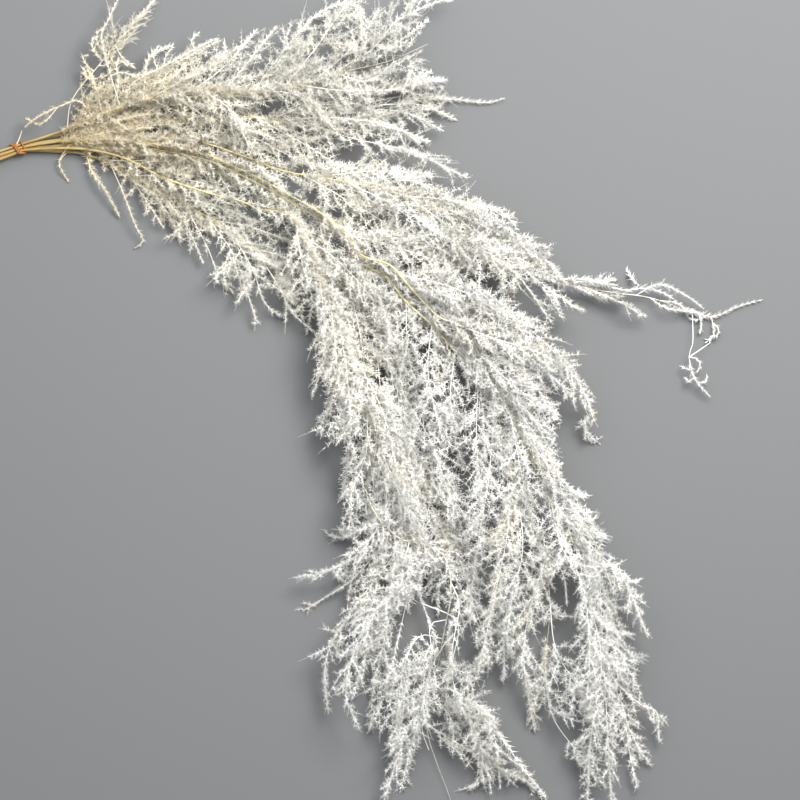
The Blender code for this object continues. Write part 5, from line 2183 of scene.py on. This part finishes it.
@dataclass
class RubberBand:
    """The band: one strand wound slantwise round the stems, with its end tucked between them.

    Attributes:
        bundle: The tied bundle.
        stems: The centre lines of all stems.
        strand: Radius of the strand.
        rounding: How round the strand is.
        points_per_turn: Number of points on one turn.
        first: Turn at which the strand starts, counted from start_turn.
        last: Turn at which it ends.
        start_turn: Angle from which turns are counted, seen along the stems.
        along_by_turn: How far along the stems it lies, by the turn.
        sharpness: How sharply it bends round the outer stems.
        seated: Least height of its centre over the stems, as a share of its radius.
        tuck: How deep its end is tucked in.
        tuck_over: The part of a turn over which it goes down.
        evened_over: Number of points over which its height is evened out.
    """

    bundle: Bundle
    stems: list[Array]
    strand: float = 0.00080
    rounding: int = 3
    points_per_turn: int = 60
    first: float = 0.26
    last: float = 2.75
    start_turn: float = math.radians(200.0)
    along_by_turn: tuple = ((0.26, 0.42, 0.56, 1.06, 1.56, 2.06, 2.56, 2.75),
                            (0.0056, 0.0046, 0.0030, 0.0038, -0.0066, 0.0054, -0.0051, -0.0040))
    sharpness: float = 3.0
    seated: float = 0.8
    tuck: float = 0.0030
    tuck_over: float = 0.06
    evened_over: int = 7

    def round_bundle(self, turn: float, lift: float) -> tuple[float, float]:
        """A point of the loop round the stems.

        Args:
            turn: How far round it is, in radians from the side.
            lift: Its distance from the inside of the band.

        Returns:
            How far to the side and how far up from the band's middle it lies.
        """
        corner = self.bundle.cut_radius + self.bundle.band_fit + lift
        wide, high = self.bundle.pitch, self.bundle.rise
        spread, rise = math.cos(turn), math.sin(turn)
        return (math.copysign(wide, spread) * min(1.0, abs(spread) * self.sharpness) + corner * spread,
                math.copysign(high, rise) * min(1.0, abs(rise) * self.sharpness) + corner * rise)

    def top_of_stems(self, place: Array) -> float:
        """The height of the stems below a place, or zero where none lies there."""
        top = 0.0
        for line in self.stems:
            apart = np.linalg.norm(line[:, :2] - place[:2], axis=1)
            nearest = apart.argmin()
            if apart[nearest] < self.bundle.cut_radius:
                top = max(top, line[nearest, 2] + math.sqrt(self.bundle.cut_radius ** 2 - apart[nearest] ** 2))
        return top

    def path(self) -> Array:
        """The strand's centre line, from its end tucked between the stems to its end below them."""
        count = int((self.last - self.first) * self.points_per_turn)
        points = []
        for gone in np.linspace(self.first, self.last, count):
            turn = self.start_turn - 2 * math.pi * gone
            forward = np.interp(gone, *self.along_by_turn)
            side, rise = self.round_bundle(turn, self.strand)
            place = self.bundle.middle + forward * self.bundle.axis + side * self.bundle.side + rise * UP
            if math.sin(turn) > 0.0:
                place[2] = max(place[2], self.top_of_stems(place) + self.seated * self.strand)
            place[2] -= self.tuck * max(0.0, 1.0 - (gone - self.first) / self.tuck_over)
            points.append(place)
        points = np.array(points)
        padded = np.pad(points[:, 2], self.evened_over // 2, mode="edge")
        heights = np.convolve(padded, np.full(self.evened_over, 1.0 / self.evened_over), mode="valid")
        points[:, 2] = np.maximum(heights, self.strand)
        return points

    def build(self) -> bpy.types.Object:
        """The wound strand as one object."""
        path = self.path()
        wound = tubes("band_turns", [path], [np.full(len(path), self.strand)], self.rounding)
        bpy.ops.object.shade_smooth()
        return wound


@dataclass(frozen=True)
class Lamp:
    """One wide soft light.

    Attributes:
        name: Its name.
        offset: Where it is, seen from what it points at.
        size: Its side.
        power: Its power in watts.
        colour: Its colour.
    """

    name: str
    offset: tuple
    size: float
    power: float
    colour: tuple

    def build(self, target: Vector) -> None:
        """Makes the light and points it at the target."""
        place = target + Vector(self.offset)
        bpy.ops.object.light_add(type="AREA", location=place)
        made = bpy.context.object
        made.name = self.name
        made.data.size = self.size
        made.data.energy = self.power
        made.data.color = self.colour
        made.rotation_euler = (target - place).to_track_quat("-Z", "Y").to_euler()
        made.visible_camera = False


@dataclass
class Studio:
    """The floor, the lights and the camera.

    Attributes:
        middle: The point of the plan at the middle of the picture.
        width: The width that the picture shows, in metres.
        lens: The camera's focal length in millimetres.
        sensor: The width of its sensor in millimetres.
        farthest: The greatest distance at which it shows something.
        level: The height that is shown at that width.
        floor_size: Side of the floor.
        lamps: The lights.
        sky: Colour of the light from all round.
        sky_strength: Its strength.
    """

    middle: tuple[float, float] = (400.0, 400.0)
    width: float = 800 * PLAN_STEP
    lens: float = 200.0
    sensor: float = 36.0
    farthest: float = 50.0
    level: float = 0.030
    floor_size: float = 30.0
    lamps: tuple[Lamp, ...] = (
        Lamp("key_light", (0.55, 0.80, 1.48), 0.75, 48.0, (1.0, 0.99, 0.965)),
        Lamp("fill_light", (-0.8, 1.5, 1.9), 2.0, 30.0, (0.95, 0.97, 1.0)),
    )
    sky: tuple = (0.80, 0.82, 0.85, 1.0)
    sky_strength: float = 0.64

    def build(self) -> None:
        """Makes the floor, the lights and the camera."""
        self.floor()
        centre = Vector(from_plan(self.middle))
        for lamp in self.lamps:
            lamp.build(centre)
        world = bpy.data.worlds.new("studio")
        bpy.context.scene.world = world
        world.use_nodes = True
        background = world.node_tree.nodes["Background"]
        background.inputs["Color"].default_value = self.sky
        background.inputs["Strength"].default_value = self.sky_strength
        bpy.context.scene.view_settings.view_transform = "Standard"
        self.camera(centre)

    def floor(self) -> None:
        """Makes the floor."""
        deselect()
        bpy.ops.mesh.primitive_plane_add(size=self.floor_size)
        made = bpy.context.object
        made.name = "floor"
        made.data.materials.append(FloorFinish("pale_floor", 0.9).build())
        made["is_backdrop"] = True

    def camera(self, centre: Vector) -> None:
        """Makes the camera, which looks straight down."""
        away = self.width * self.lens / self.sensor
        bpy.ops.object.camera_add(location=(centre.x, centre.y, self.level + away), rotation=Euler((0.0, 0.0, 0.0)))
        made = bpy.context.object
        made.data.lens = self.lens
        made.data.sensor_width = self.sensor
        made.data.clip_end = self.farthest
        bpy.context.scene.camera = made


def main() -> None:
    """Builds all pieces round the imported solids."""
    logging.basicConfig(level=logging.INFO, format="%(message)s")
    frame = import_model()
    low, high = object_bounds()
    bundle = Bundle()
    routes = RouteReader(bundle).read(frame["nodes"])
    lay = Lay(low, high)
    for table, reach in ((ON_TOP, lay.part_reach), (JUST_ON_TOP, lay.slim_reach)):
        lay.press_under([stretch_of(route, *ends) for route in routes for ends in table.get(route.name, [])], reach)
    lay.roof([plume.line for route in routes for plume in route.plumes])
    pair, spar = NeedlePair(PAIR_RADIUS), NeedleSpar(SPAR_RADIUS)
    barb_core, frond_core = ShootCore(BARB_STATIONS), ShootCore(FROND_STATIONS)
    for part in (pair, spar, barb_core, frond_core):
        part.model()
    leaf = LeafFinish("bleached_needles", 0.72).build()
    barks = {name: StemFinish(f"dried_{name.removeprefix('spray_')}", 0.5,
                              farthest=FADED_AT.get(name, StemFinish.farthest)).build() for name in STEMS}
    rubber = RubberFinish("rubber", 0.42).build()
    for number, route in enumerate(routes):
        leaves = Foliage(route, lay, pair, spar, barb_core, frond_core, seed=FIRST_SEED + number).build()
        stem = Stem(route, bundle).build()
        for piece, finish in ((leaves, leaf), (stem, barks[route.name])):
            piece.data.materials.clear()
            piece.data.materials.append(finish)
            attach(piece, BODY)
            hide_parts(route.name)
            LOG.info("piece %s stands for %s", piece.name, route.name)
    band = RubberBand(bundle, [route.stem for route in routes]).build()
    band.data.materials.clear()
    band.data.materials.append(rubber)
    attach(band, BODY)
    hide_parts("rubber_band")
    LOG.info("piece %s stands for rubber_band", band.name)
    Studio().build()
    total = sum(len(piece.data.loop_triangles) or len(piece.data.polygons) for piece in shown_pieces())
    LOG.info("about %d faces in all", total)


if __name__ == "__main__":
    main()
